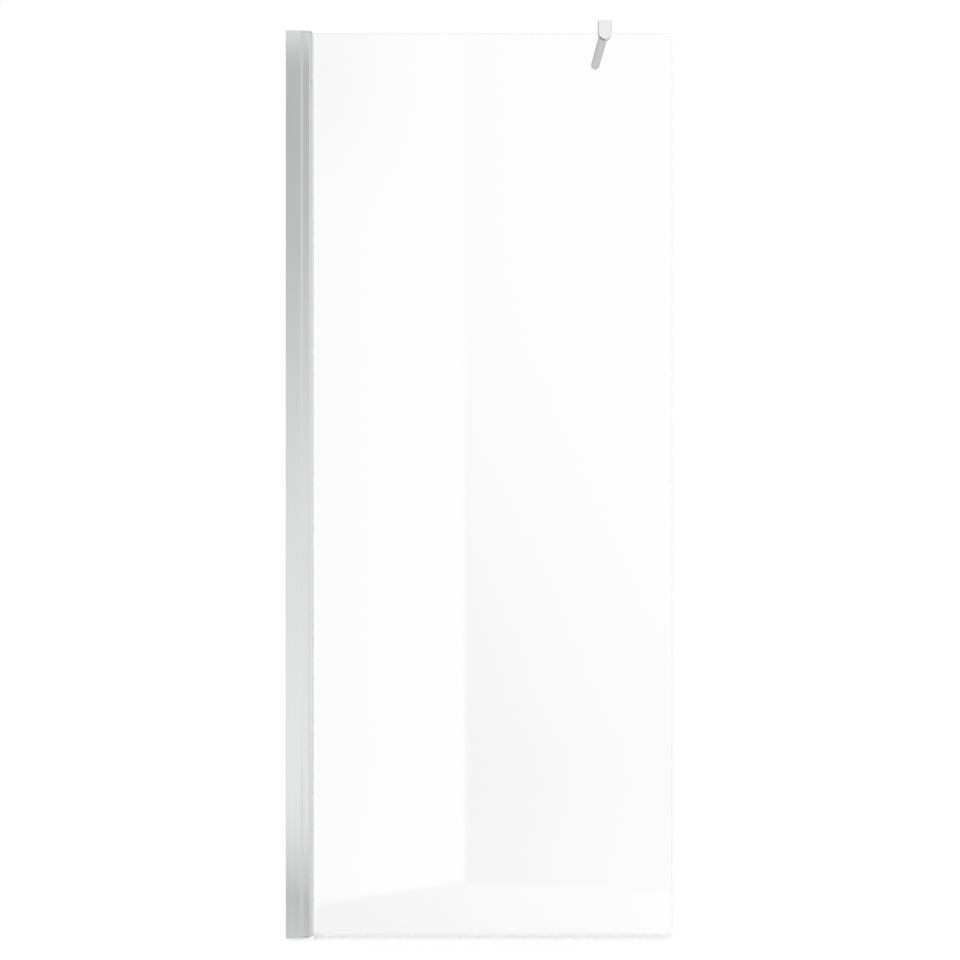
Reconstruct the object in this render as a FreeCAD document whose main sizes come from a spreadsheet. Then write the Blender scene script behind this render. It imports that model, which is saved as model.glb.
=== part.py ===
import FreeCAD, Part
import os
import Sketcher

# A fixed glass bath screen. A wall channel holds a sliding glass profile, which grips one sheet
# of toughened glass. A clamp on the glass's top edge carries a round bar to the wall beside it.
# Frame, in mm: x = 0 is the wall face, y = 0 the middle of the glass, z = 0 the bath's rim.
# +X runs along the glass to its free edge, +Y towards the wall that the bar reaches, +Z up.

DRIVING_SIZES = (
    # overall
    ("screen_height", 1396, "bath rim to the top of the upper end cap"),
    ("screen_width", 595, "wall face to the free edge of the glass"),
    ("support_reach", 312, "middle of the glass to the wall that holds the bar"),
    ("clamp_inset", 104, "free edge of the glass to the middle of the clamp"),
    ("adjust_travel", 5, "travel of the glass profile each way in the channel"),
    # wall channel
    ("channel_depth", 26, "wall face to the channel's lips"),
    ("channel_web", 2, "thickness against the wall"),
    ("channel_wall", 2, "thickness of the side walls"),
    ("lip_bevel", 3, "length of the bevel on each lip"),
    ("lip_flat", 0.3, "flat left on each lip's end"),
    ("port_radius", 2.6, "outside of the screw ports on the web"),
    ("port_bore", 1.35, "radius of the bore in a screw port"),
    ("port_sink", 0.6, "how far a port is sunk into the web"),
    ("port_clearance", 0.7, "screw ports to the walls of the glass profile"),
    ("port_slit", 1.2, "opening along each screw port"),
    ("wall_hole_radius", 2.75, "holes for the screws into the wall"),
    ("outer_hole_spacing", 1200, "between the two outer wall holes"),
    ("inner_hole_spacing", 400, "between the two inner wall holes"),
    # end caps
    ("cap_thickness", 2, "plate of each end cap"),
    ("cap_gap", 0.5, "running gap between a cap and the sliding parts"),
    ("cap_setback", 1.7, "front edge of a cap behind the profile or the seal that it meets"),
    ("peg_length", 8, "pegs of the caps in the screw ports"),
    ("peg_clearance", 0.05, "peg to port, on the radius"),
    # glass profile
    ("slide_clearance", 0.3, "glass profile to the channel's side walls"),
    ("end_gap", 0.5, "glass profile to the web at the end of its travel"),
    ("profile_length", 33.2, "glass profile along X"),
    ("profile_wall", 1.6, "outer walls of the glass profile"),
    ("nose_radius", 5, "rounded front corners of the glass profile"),
    ("nose_flat", 0.1, "least flat inside the nose, between its rounding and the rib"),
    ("pocket_depth", 14.7, "depth of the glass pocket"),
    ("pocket_rib", 1.4, "side ribs of the glass pocket"),
    ("pocket_base", 1.5, "base of the glass pocket"),
    # glass and its seals
    ("glass_thickness", 6, "toughened glass"),
    ("glass_arris", 0.5, "ground edges of the glass"),
    ("packer_thickness", 1.5, "glazing packers behind the glass"),
    ("packer_length", 80, "each glazing packer along Z"),
    ("packer_inset", 120, "end of the glass to the nearest packer"),
    ("gasket_thickness", 2.2, "glazing gasket between glass and rib"),
    ("gasket_reach", 11, "glazing gasket inside the pocket"),
    ("bead_height", 1.2, "gasket bead in front of the profile"),
    ("bead_lap", 0.8, "gasket bead over the profile's lip"),
    ("bead_bevel", 0.6, "bevel on the gasket bead"),
    ("seal_grip", 0.05, "bottom seal to the glass, each side"),
    ("seal_leg", 1.0, "thickness of the bottom seal's legs"),
    ("seal_web", 1.2, "thickness of the bottom seal's web"),
    ("seal_lap", 3.9, "height of the legs over the glass's lower edge"),
    ("seal_drop", 4, "fins below the rim while they hang free"),
    ("fin_root", 1.6, "middle plane to the inside of a fin's root"),
    ("fin_splay", 1.6, "how far a fin leans outwards"),
    ("fin_thickness", 0.9, "each fin"),
    ("seal_end_gap", 0.5, "seal short of the gasket beads and of the glass's free edge"),
    # lock hardware
    ("slot_margin", 1, "back edge of the glass profile to the lock screws' slots"),
    ("lock_spacing", 550, "between neighbouring lock screws"),
    ("lock_radius", 2, "lock screw's thread, M4"),
    ("lock_head_radius", 3.5, "lock screw's pan head"),
    ("lock_head_height", 2.4, "lock screw's pan head"),
    ("lock_tail", 0.6, "lock screw past its nut"),
    ("tail_clearance", 0.4, "lock screw's end to the rib of the glass pocket"),
    ("slot_clearance", 0.3, "lock screw to its slot, on the radius"),
    ("nut_width", 7, "square nut across its flats"),
    ("nut_thickness", 2.2, "square nut"),
    ("nut_gap", 0.3, "nut to the wall that it clamps, while loose"),
    ("thread_clearance", 0.05, "screw to its thread, on the radius"),
    ("washer_thickness", 0.8, "base washer of a snap cap"),
    ("washer_radius", 4.3, "base washer of a snap cap"),
    ("snap_clearance", 0.05, "base washer to snap cap, on the radius"),
    ("snap_wall", 0.85, "wall of a snap cap"),
    ("snap_roof", 0.8, "roof of a snap cap"),
    ("snap_room", 0.2, "screw head to the snap cap's roof"),
    ("snap_bevel", 1, "bevel round a snap cap"),
    # clamp
    ("clamp_width", 21, "clamp block along X"),
    ("clamp_height", 30, "clamp block along Z"),
    ("clamp_overlap", 10.5, "clamp block below the glass's upper edge"),
    ("clamp_front_cheek", 4.8, "clamp block in front of its slot"),
    ("clamp_back_cheek", 5.8, "clamp block behind its slot"),
    ("clamp_roof", 0.75, "clamp block between its slot and the stud's hole"),
    ("clamp_corner", 2, "rounded upper corners of the clamp"),
    ("clamp_edge", 1, "rounded edge of the clamp's front face"),
    ("liner_thickness", 0.9, "soft liner in the clamp's slot"),
    ("liner_gap", 0.3, "liner to the glass while the clamp is loose"),
    ("liner_inset", 0.5, "liner inside the clamp's outline"),
    ("pad_radius", 1.8, "pressure pad against the glass"),
    ("pad_thickness", 1.6, "pressure pad against the glass"),
    ("pad_clearance", 0.1, "pressure pad to the liner, on the radius"),
    ("grip_radius", 2, "clamp's grub screw, M4"),
    ("grip_drop", 11, "bar's axis down to the clamp's grub screw"),
    ("grip_sunk", 0.6, "grub screw below the clamp's back face"),
    # support bar
    ("bar_radius", 7, "outside of the support bar, and of the wall boss's disc"),
    ("bar_wall", 1.2, "wall of the support bar"),
    ("plug_clearance", 0.05, "plugs to the bar's bore, on the radius"),
    ("stud_radius", 2.5, "stud between clamp and bar, M5"),
    ("stud_front", 3, "stud in front of the middle of the glass"),
    ("stud_length", 25, "stud between clamp and bar"),
    ("stud_room", 1, "hole past the stud's front end"),
    ("stud_bevel", 0.5, "bevelled ends of the stud"),
    ("insert_length", 15, "threaded plug in the bar's near end"),
    ("sleeve_length", 18, "bored plug in the bar's far end"),
    ("spigot_radius", 3.95, "spigot of the wall boss"),
    ("spigot_length", 16, "spigot of the wall boss"),
    ("spigot_clearance", 0.05, "spigot to its sleeve, on the radius"),
    ("boss_thickness", 3, "disc of the wall boss"),
    ("boss_gap", 0.3, "bar to the disc when pushed home"),
    ("boss_bore", 2.25, "screw hole through the wall boss"),
    ("boss_sink", 1.2, "depth of the countersink in the spigot"),
    ("boss_lock_radius", 1.5, "bar's grub screw, M3"),
    ("boss_lock_inset", 5, "bar's far end to its grub screw"),
    ("boss_lock_gap", 0.3, "bar's grub screw to the spigot while loose"),
    ("boss_lock_sunk", 0.3, "bar's grub screw below the bar's surface"),
    ("socket_share", 0.5, "hexagon socket's flats over the screw's diameter"),
)

DOC = FreeCAD.newDocument("BathScreen")
SHEET = DOC.addObject("Spreadsheet::Sheet", "Sizes")


def fill_sheet():
    """One row for each driving size: what it is, its number and its alias."""
    for row, (alias, value, meaning) in enumerate(DRIVING_SIZES, start=1):
        SHEET.set(f"A{row}", meaning)
        SHEET.set(f"B{row}", str(value))
        SHEET.setAlias(f"B{row}", alias)
    DOC.recompute()


class Size:
    """A length in mm, with the expression over the sheet that gives it."""

    def __init__(self, value, text):
        self.value = value
        self.text = text

    def __add__(self, other):
        other = as_size(other)
        return Size(self.value + other.value, f"({self.text} + {other.text})")

    def __radd__(self, other):
        return as_size(other) + self

    def __sub__(self, other):
        other = as_size(other)
        return Size(self.value - other.value, f"({self.text} - {other.text})")

    def __rsub__(self, other):
        return as_size(other) - self

    def __mul__(self, other):
        other = as_size(other)
        return Size(self.value * other.value, f"({self.text} * {other.text})")

    def __rmul__(self, other):
        return as_size(other) * self

    def __truediv__(self, other):
        other = as_size(other)
        return Size(self.value / other.value, f"({self.text} / {other.text})")

    def __neg__(self):
        return Size(-self.value, f"(0 - {self.text})")


def as_size(thing):
    """A Size as it is, or a plain number as a Size."""
    if isinstance(thing, Size):
        return thing
    return Size(float(thing), f"({float(thing)})")


def smaller(first, second):
    return Size(min(first.value, second.value), f"min({first.text}; {second.text})")


class NamedSizes:
    """Gives each driving size by its alias, as a Size."""

    def __getattr__(self, alias):
        return Size(float(SHEET.get(alias)), f"Sizes.{alias}")


fill_sheet()
s = NamedSizes()


# Drawing and building


def bind(thing, setting, size):
    thing.setExpression(setting, as_size(size).text)


def new_body(label, x=0, y=0, z=0):
    """An empty body for one sub-part, placed by sizes from the sheet."""
    body = DOC.addObject("PartDesign::Body", label)
    body.Label = label
    for axis, distance in (("x", x), ("y", y), ("z", z)):
        bind(body, f"Placement.Base.{axis}", distance)
    return body


def origin_feature(body, role):
    return next(feature for feature in body.Origin.OriginFeatures if feature.Role == role)


def sketch_on(body, role, name, lift=0):
    """A sketch on one of the body's own origin planes, lifted along the plane's normal."""
    sketch = body.newObject("Sketcher::SketchObject", name)
    sketch.AttachmentSupport = [(origin_feature(body, role), "")]
    sketch.MapMode = "FlatFace"
    bind(sketch, "AttachmentOffset.Base.z", lift)
    return sketch


def facing_y(body, name, y):
    """A sketch in X and Z at height y. The plane's own normal is -Y."""
    return sketch_on(body, "XZ_Plane", name, -as_size(y))


def hold_point(sketch, geometry, point, x, y):
    """Holds one point of the geometry at x and y from the sketch's origin."""
    for kind, size in (("DistanceX", x), ("DistanceY", y)):
        size = as_size(size)
        held = Sketcher.Constraint(kind, -1, 1, geometry, point, size.value)
        index = sketch.addConstraint(held)
        sketch.setExpression(f"Constraints[{index}]", size.text)


def outline(sketch, corners):
    """A closed outline of straight lines through the corners."""
    first = sketch.GeometryCount
    spots = [FreeCAD.Vector(as_size(x).value, as_size(y).value, 0) for x, y in corners]
    ends = spots[1:] + spots[:1]
    sketch.addGeometry([Part.LineSegment(a, b) for a, b in zip(spots, ends)], False)
    count = len(spots)
    joins = []
    for number in range(count):
        after = first + (number + 1) % count
        joins.append(Sketcher.Constraint("Coincident", first + number, 2, after, 1))
    sketch.addConstraint(joins)
    for number, (x, y) in enumerate(corners):
        hold_point(sketch, first + number, 1, x, y)


def mirrored(corners):
    """The corners, followed by their mirror images in the sketch's X axis, in reverse."""
    return list(corners) + [(x, -as_size(y)) for x, y in reversed(corners)]


def rectangle(sketch, x_low, x_high, y_low, y_high):
    outline(sketch, ((x_low, y_low), (x_high, y_low), (x_high, y_high), (x_low, y_high)))


def circle(sketch, x, y, radius):
    middle = FreeCAD.Vector(as_size(x).value, as_size(y).value, 0)
    up = FreeCAD.Vector(0, 0, 1)
    number = sketch.addGeometry(Part.Circle(middle, up, radius.value), False)
    hold_point(sketch, number, 3, x, y)
    index = sketch.addConstraint(Sketcher.Constraint("Radius", number, radius.value))
    sketch.setExpression(f"Constraints[{index}]", radius.text)


def half_round(sketch, x, y, radius, start, held):
    """A half circle round (x, y). Lines hold its two ends, so its middle is held one way only."""
    middle = FreeCAD.Vector(as_size(x).value, as_size(y).value, 0)
    whole = Part.Circle(middle, FreeCAD.Vector(0, 0, 1), radius.value)
    number = sketch.addGeometry(Part.ArcOfCircle(whole, start, start + PI), False)
    size = as_size(x if held == "DistanceX" else y)
    index = sketch.addConstraint(Sketcher.Constraint(held, -1, 1, number, 3, size.value))
    sketch.setExpression(f"Constraints[{index}]", size.text)
    return number


PI = 3.141592653589793


def tongue(sketch, half_width, top, arc_middle):
    """A flat top, two straight sides and a half-round bottom."""
    corners = (
        (half_width, arc_middle),
        (half_width, top),
        (-half_width, top),
        (-half_width, arc_middle),
    )
    spots = [FreeCAD.Vector(as_size(x).value, as_size(y).value, 0) for x, y in corners]
    sides = [Part.LineSegment(a, b) for a, b in zip(spots, spots[1:])]
    sketch.addGeometry(sides, False)
    last_side = len(sides) - 1
    for number in range(last_side):
        sketch.addConstraint(Sketcher.Constraint("Coincident", number, 2, number + 1, 1))
    for number, (x, y) in enumerate(corners[:-1]):
        hold_point(sketch, number, 1, x, y)
    hold_point(sketch, last_side, 2, *corners[-1])
    arc = half_round(sketch, 0, arc_middle, half_width, PI, "DistanceY")
    sketch.addConstraint(Sketcher.Constraint("Coincident", arc, 1, last_side, 2))
    sketch.addConstraint(Sketcher.Constraint("Coincident", arc, 2, 0, 1))


def obround(sketch, x, y, half_length, radius):
    """A slot along the sketch's X axis, with round ends of the given radius."""
    straight = half_length - radius
    top_line = ((x - straight, y + radius), (x + straight, y + radius))
    low_line = ((x + straight, y - radius), (x - straight, y - radius))
    first = sketch.GeometryCount
    for start, end in (top_line, low_line):
        ends = [FreeCAD.Vector(as_size(u).value, as_size(v).value, 0) for u, v in (start, end)]
        number = sketch.addGeometry(Part.LineSegment(*ends), False)
        hold_point(sketch, number, 1, *start)
        hold_point(sketch, number, 2, *end)
    right = half_round(sketch, x + straight, y, radius, -PI / 2, "DistanceX")
    left = half_round(sketch, x - straight, y, radius, PI / 2, "DistanceX")
    joins = ((right, 2, first, 2), (right, 1, first + 1, 1), (left, 1, first, 1), (left, 2, first + 1, 2))
    for arc, arc_end, line, line_end in joins:
        sketch.addConstraint(Sketcher.Constraint("Coincident", arc, arc_end, line, line_end))


def hexagon(sketch, x, y, across_flats):
    """A hexagon with its points up and down the sketch's Y axis."""
    side = across_flats / 3**0.5
    half = across_flats / 2
    corners = [(0, side), (half, side / 2), (half, -side / 2)]
    corners += [(0, -side), (-half, -side / 2), (-half, side / 2)]
    outline(sketch, [(x + u, y + v) for u, v in corners])


def pad(body, sketch, name, length, reverse=False):
    feature = body.newObject("PartDesign::Pad", name)
    feature.Profile = sketch
    feature.Reversed = reverse
    bind(feature, "Length", length)
    return feature


def pocket(body, sketch, name, length, reverse=False):
    """Cuts the sketch out, against the sketch's normal or with it, and checks that it took something."""
    DOC.recompute()
    before = body.Shape.Volume
    feature = body.newObject("PartDesign::Pocket", name)
    feature.Profile = sketch
    feature.Reversed = reverse
    bind(feature, "Length", length)
    DOC.recompute()
    if body.Shape.Volume > before - 0.001:
        raise RuntimeError(f"{name} in {body.Label} cuts nothing")
    return feature


def turn(body, sketch, name):
    """Turns a half section round the sketch's own X axis."""
    feature = body.newObject("PartDesign::Revolution", name)
    feature.Profile = sketch
    feature.ReferenceAxis = (sketch, ["H_Axis"])
    feature.Angle = 360
    return feature


def turned_along_y(body, name, corners):
    """A turned piece round the body's Y axis, from (distance along Y, radius) corners."""
    section = sketch_on(body, "YZ_Plane", f"{name}_half_section")
    outline(section, corners)
    return turn(body, section, name)


def repeat_up(body, features, name, spacing, count):
    """Repeats the features count times at the spacing, up the body's Z axis."""
    DOC.recompute()
    pattern = body.newObject("PartDesign::LinearPattern", name)
    pattern.Originals = features
    pattern.Direction = (origin_feature(body, "Z_Axis"), [""])
    pattern.Occurrences = count
    bind(pattern, "Length", spacing * (count - 1))
    body.Tip = pattern
    DOC.recompute()
    return pattern


def edges_at(feature, wanted):
    """The names of the feature's edges whose middle point passes the test."""
    names = []
    for number, edge in enumerate(feature.Shape.Edges, start=1):
        middle = edge.valueAt((edge.FirstParameter + edge.LastParameter) / 2)
        if wanted(middle):
            names.append(f"Edge{number}")
    return names


def near(a, b):
    return abs(a - as_size(b).value) < 0.001


def dress(body, kind, name, setting, size, wanted):
    """A fillet or chamfer of the given size on the edges that pass the test."""
    DOC.recompute()
    base = body.Tip
    names = edges_at(base, wanted)
    if not names:
        raise RuntimeError(f"{name} in {body.Label} finds no edge")
    feature = body.newObject(f"PartDesign::{kind}", name)
    feature.Base = (base, names)
    bind(feature, setting, size)
    DOC.recompute()
    return feature


def fillet(body, name, radius, wanted):
    return dress(body, "Fillet", name, "Radius", radius, wanted)


def chamfer(body, name, size, wanted):
    return dress(body, "Chamfer", name, "Size", size, wanted)


# Places that several pieces share


moving_bottom = s.cap_thickness + s.cap_gap
moving_length = s.screen_height - 2 * moving_bottom
glass_top = moving_bottom + moving_length

glass_half = s.glass_thickness / 2
pocket_half = glass_half + s.gasket_thickness
rib_half = pocket_half + s.pocket_rib
nut_room = s.nut_gap + s.nut_thickness + s.lock_tail + s.tail_clearance
profile_half = rib_half + nut_room + s.profile_wall
channel_half = profile_half + s.slide_clearance + s.channel_wall
channel_length = s.screen_height - 2 * s.cap_thickness
port_x = s.channel_web + s.port_radius - s.port_sink

profile_back = s.channel_web + s.adjust_travel + s.end_gap
profile_nose = profile_back + s.profile_length
pocket_bottom = profile_nose - s.pocket_depth
glass_start = pocket_bottom + s.packer_thickness
bead_front = profile_nose + s.bead_height

seal_start = bead_front + s.seal_end_gap
port_middle = profile_half - s.profile_wall - s.port_clearance - s.port_radius

LOCK_COUNT = 3
lock_first = s.screen_height / 2 - s.lock_spacing
slot_radius = s.lock_radius + s.slot_clearance
slot_half = s.adjust_travel + slot_radius
lock_x = profile_back + s.slot_margin + slot_half
nut_face = s.channel_wall + s.slide_clearance + s.profile_wall + s.nut_gap

stud_bore = s.stud_radius + s.thread_clearance
bar_rise = s.liner_gap + s.liner_thickness + s.clamp_roof + stud_bore
clamp_x = s.screen_width - s.clamp_inset
bar_z = glass_top + bar_rise
clamp_half = s.clamp_width / 2
clamp_bottom = -(bar_rise + s.clamp_overlap)
clamp_arc = clamp_bottom + clamp_half
liner_half = glass_half + s.liner_gap + s.liner_thickness
clamp_front = liner_half + s.clamp_front_cheek
clamp_back = liner_half + s.clamp_back_cheek
liner_roof = -bar_rise + s.liner_gap
slot_roof = liner_roof + s.liner_thickness
bar_far = s.support_reach - s.boss_thickness - s.boss_gap
bar_bore = s.bar_radius - s.bar_wall
plug_radius = bar_bore - s.plug_clearance
sleeve_bore = s.spigot_radius + s.spigot_clearance
boss_lock_y = bar_far - s.boss_lock_inset


# Wall channel


def wall_profile():
    """The fixed U section, with two C-shaped screw ports on its web."""
    body = new_body("wall_profile", z=s.cap_thickness)
    section = sketch_on(body, "XY_Plane", "channel_section")
    upper = (
        (0, channel_half),
        (s.channel_depth - s.lip_bevel, channel_half),
        (s.channel_depth, channel_half - s.channel_wall + s.lip_flat),
        (s.channel_depth, channel_half - s.channel_wall),
        (s.channel_web, channel_half - s.channel_wall),
    )
    outline(section, mirrored(upper))
    pad(body, section, "channel", channel_length)

    ports = sketch_on(body, "XY_Plane", "port_section")
    bores = sketch_on(body, "XY_Plane", "port_bores_section")
    slits = sketch_on(body, "XY_Plane", "port_slits_section")
    slit_end = port_x + s.port_radius + s.port_bore
    for middle in (-port_middle, port_middle):
        circle(ports, port_x, middle, s.port_radius)
        circle(bores, port_x, middle, s.port_bore)
        rectangle(slits, port_x, slit_end, middle - s.port_slit / 2, middle + s.port_slit / 2)
    pad(body, ports, "ports", channel_length)
    pocket(body, bores, "port_bores", channel_length, reverse=True)
    pocket(body, slits, "port_slits", channel_length, reverse=True)

    holes = sketch_on(body, "YZ_Plane", "wall_hole_places")
    for spacing in (s.outer_hole_spacing, s.inner_hole_spacing):
        for end in (-1, 1):
            circle(holes, 0, channel_length / 2 + end * spacing / 2, s.wall_hole_radius)
    pocket(body, holes, "wall_holes", s.channel_web, reverse=True)

    locks = facing_y(body, "lock_hole_places", channel_half)
    for number in range(LOCK_COUNT):
        height = lock_first - s.cap_thickness + number * s.lock_spacing
        circle(locks, lock_x, height, s.lock_radius + s.thread_clearance)
    pocket(body, locks, "lock_holes", s.channel_wall, reverse=True)


def end_cap(label, z, reach, pegs_down):
    """A thin plate over one end of both profiles, with a peg in each screw port."""
    body = new_body(label, z=z)
    plate_section = sketch_on(body, "XY_Plane", "plate_section")
    upper = (
        (0, channel_half),
        (s.channel_depth, channel_half),
        (s.channel_depth, profile_half),
        (reach, profile_half),
    )
    outline(plate_section, mirrored(upper))
    pad(body, plate_section, "plate", s.cap_thickness)
    root = 0 if pegs_down else s.cap_thickness
    pegs = sketch_on(body, "XY_Plane", "peg_section", root)
    for middle in (-port_middle, port_middle):
        circle(pegs, port_x, middle, s.port_bore - s.peg_clearance)
    pad(body, pegs, "pegs", s.peg_length, reverse=pegs_down)


def lock_screws():
    """Pan-head screws through the channel's wall, with a cross recess in each head."""
    body = new_body("lock_screws", lock_x, channel_half, lock_first)
    head_top = s.washer_thickness + s.lock_head_height
    bevel = s.lock_head_height / 4
    tail = nut_face + s.nut_thickness + s.lock_tail
    corners = (
        (-tail, 0),
        (-tail, s.lock_radius),
        (s.washer_thickness, s.lock_radius),
        (s.washer_thickness, s.lock_head_radius),
        (head_top - bevel, s.lock_head_radius),
        (head_top, s.lock_head_radius - bevel),
        (head_top, 0),
    )
    screw = turned_along_y(body, "screw", corners)
    recess = facing_y(body, "recess_shape", head_top)
    arm = s.lock_head_radius / 2
    blade = arm / 4
    quarter = [(arm, blade), (blade, blade), (blade, arm), (-blade, arm), (-blade, blade), (-arm, blade)]
    outline(recess, mirrored(quarter))
    cut = pocket(body, recess, "recess", s.lock_head_height / 2, reverse=True)
    repeat_up(body, [screw, cut], "screw_row", s.lock_spacing, LOCK_COUNT)


def lock_nuts():
    """Square nuts inside the glass profile, one on each lock screw."""
    body = new_body("lock_nuts", lock_x, channel_half - nut_face, lock_first)
    section = facing_y(body, "nut_section", 0)
    half = s.nut_width / 2
    rectangle(section, -half, half, -half, half)
    circle(section, 0, 0, s.lock_radius + s.thread_clearance)
    nut = pad(body, section, "nut", s.nut_thickness)
    repeat_up(body, [nut], "nut_row", s.lock_spacing, LOCK_COUNT)


def cap_washers():
    """Base washers under the lock screws' heads, which hold the snap caps."""
    body = new_body("cap_washers", lock_x, channel_half, lock_first)
    section = facing_y(body, "washer_section", 0)
    circle(section, 0, 0, s.washer_radius)
    circle(section, 0, 0, s.lock_radius + s.thread_clearance)
    washer = pad(body, section, "washer", s.washer_thickness, reverse=True)
    repeat_up(body, [washer], "washer_row", s.lock_spacing, LOCK_COUNT)


def screw_caps():
    """Snap caps over the lock screws' heads."""
    body = new_body("screw_caps", lock_x, channel_half, lock_first)
    bore = s.washer_radius + s.snap_clearance
    outside = bore + s.snap_wall
    roof = s.washer_thickness + s.lock_head_height + s.snap_room
    top = roof + s.snap_roof
    corners = (
        (0, bore),
        (0, outside),
        (top - s.snap_bevel, outside),
        (top, outside - s.snap_bevel),
        (top, 0),
        (roof, 0),
        (roof, bore),
    )
    cap = turned_along_y(body, "snap_cap", corners)
    repeat_up(body, [cap], "snap_cap_row", s.lock_spacing, LOCK_COUNT)


# Glass and what slides with it


def glass_profile():
    """The sliding section, whose rounded nose leads back into the pocket for the glass."""
    body = new_body("glass_profile", z=moving_bottom)
    section = sketch_on(body, "XY_Plane", "profile_section")
    inside_half = profile_half - s.profile_wall
    inside_nose = profile_nose - s.profile_wall
    upper = (
        (pocket_bottom, pocket_half),
        (profile_nose, pocket_half),
        (profile_nose, profile_half),
        (profile_back, profile_half),
        (profile_back, inside_half),
        (inside_nose, inside_half),
        (inside_nose, rib_half),
        (pocket_bottom - s.pocket_base, rib_half),
    )
    outline(section, mirrored(upper))
    pad(body, section, "profile", moving_length)
    nose_round = smaller(s.nose_radius, s.profile_wall + nut_room - s.nose_flat)
    for name, x, y, radius in (
        ("nose_outside", profile_nose, profile_half, nose_round),
        ("nose_inside", inside_nose, inside_half, nose_round - s.profile_wall),
    ):
        fillet(body, name, radius, lambda p: near(p.x, x) and near(abs(p.y), y))
    slots = facing_y(body, "slot_places", profile_half)
    for number in range(LOCK_COUNT):
        height = lock_first - moving_bottom + number * s.lock_spacing
        obround(slots, lock_x, height, slot_half, slot_radius)
    pocket(body, slots, "slots", s.profile_wall, reverse=True)


def glass_panel():
    """One sheet of toughened glass with ground edges."""
    body = new_body("glass_panel", z=moving_bottom)
    section = sketch_on(body, "XY_Plane", "glass_section")
    rectangle(section, glass_start, s.screen_width, -glass_half, glass_half)
    pad(body, section, "sheet", moving_length)
    chamfer(body, "arris", s.glass_arris, lambda p: near(abs(p.y), glass_half))


def glazing_seal(label, side):
    """A gasket between the glass and one rib of the pocket, with a bead over the profile's lip."""
    body = new_body(label, z=moving_bottom)
    section = sketch_on(body, "XY_Plane", "gasket_section")
    bead_outside = pocket_half + s.bead_lap
    corners = (
        (profile_nose - s.gasket_reach, glass_half),
        (bead_front, glass_half),
        (bead_front, bead_outside - s.bead_bevel),
        (bead_front - s.bead_bevel, bead_outside),
        (profile_nose, bead_outside),
        (profile_nose, pocket_half),
        (profile_nose - s.gasket_reach, pocket_half),
    )
    outline(section, [(x, side * y) for x, y in corners])
    pad(body, section, "gasket", moving_length)


def glazing_packers():
    """Packers that set the glass in its pocket."""
    body = new_body("glazing_packers", z=moving_bottom + s.packer_inset)
    section = sketch_on(body, "XY_Plane", "packer_section")
    rectangle(section, pocket_bottom, glass_start, -glass_half, glass_half)
    packer = pad(body, section, "packer", s.packer_length)
    spacing = (moving_length - 2 * s.packer_inset - s.packer_length) / 2
    repeat_up(body, [packer], "packer_row", spacing, LOCK_COUNT)


def bottom_seal():
    """A clear clip-on seal: two legs up the glass, a web under it and two fins to the rim."""
    body = new_body("bottom_seal", x=seal_start)
    section = sketch_on(body, "YZ_Plane", "seal_section")
    grip = glass_half + s.seal_grip
    outside = grip + s.seal_leg
    web_top = moving_bottom - s.seal_grip
    web_bottom = web_top - s.seal_web
    leg_top = moving_bottom + s.seal_lap
    upper = (
        (grip, web_top),
        (grip, leg_top),
        (outside, leg_top),
        (outside, web_bottom),
        (s.fin_root + s.fin_thickness, web_bottom),
        (s.fin_root + s.fin_splay + s.fin_thickness, -s.seal_drop),
        (s.fin_root + s.fin_splay, -s.seal_drop),
        (s.fin_root, web_bottom),
    )
    outline(section, list(upper) + [(-x, y) for x, y in reversed(upper)])
    pad(body, section, "seal", s.screen_width - s.seal_end_gap - seal_start)


# Clamp and support bar, drawn round the bar's axis


def clamp_block():
    """The clamp on the glass's upper edge: a slot below, and the stud's hole and a grub screw behind."""
    body = new_body("clamp_block", clamp_x, 0, bar_z)
    top = clamp_bottom + s.clamp_height
    shape = facing_y(body, "clamp_shape", -clamp_front)
    tongue(shape, clamp_half, top, clamp_arc)
    pad(body, shape, "block", clamp_front + clamp_back, reverse=True)
    fillet(
        body,
        "upper_corners",
        s.clamp_corner,
        lambda p: near(abs(p.x), clamp_half) and near(p.z, top),
    )
    fillet(body, "front_edge", s.clamp_edge, lambda p: near(p.y, -clamp_front))

    slot = sketch_on(body, "YZ_Plane", "glass_slot_shape", -s.clamp_width)
    rectangle(slot, -liner_half, liner_half, clamp_bottom - s.clamp_edge, slot_roof)
    pocket(body, slot, "glass_slot", 2 * s.clamp_width, reverse=True)

    stud_hole = facing_y(body, "stud_hole_place", clamp_back)
    circle(stud_hole, 0, 0, stud_bore)
    stud_depth = clamp_back + s.stud_front + s.stud_room
    pocket(body, stud_hole, "stud_hole", stud_depth, reverse=True)

    grip_hole = facing_y(body, "grip_hole_place", clamp_back)
    circle(grip_hole, 0, -s.grip_drop, s.grip_radius + s.thread_clearance)
    pocket(body, grip_hole, "grip_hole", s.clamp_back_cheek, reverse=True)


def clamp_liner():
    """The soft liner between clamp and glass, open on the side of the pressure pad."""
    body = new_body("clamp_liner", clamp_x, 0, bar_z)
    shape = facing_y(body, "liner_shape", -liner_half)
    tongue(shape, clamp_half - s.liner_inset, slot_roof, clamp_arc)
    pad(body, shape, "liner", 2 * liner_half, reverse=True)
    room = sketch_on(body, "YZ_Plane", "glass_room_shape", -s.clamp_width)
    inside = liner_half - s.liner_thickness
    rectangle(room, -inside, inside, clamp_bottom - s.clamp_edge, liner_roof)
    pocket(body, room, "glass_room", 2 * s.clamp_width, reverse=True)
    window = facing_y(body, "pad_window_place", liner_half)
    circle(window, 0, -s.grip_drop, s.pad_radius + s.pad_clearance)
    pocket(body, window, "pad_window", s.liner_thickness, reverse=True)


pad_face = glass_half + s.liner_gap
grip_start = pad_face + s.pad_thickness
grip_end = clamp_back - s.grip_sunk


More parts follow.
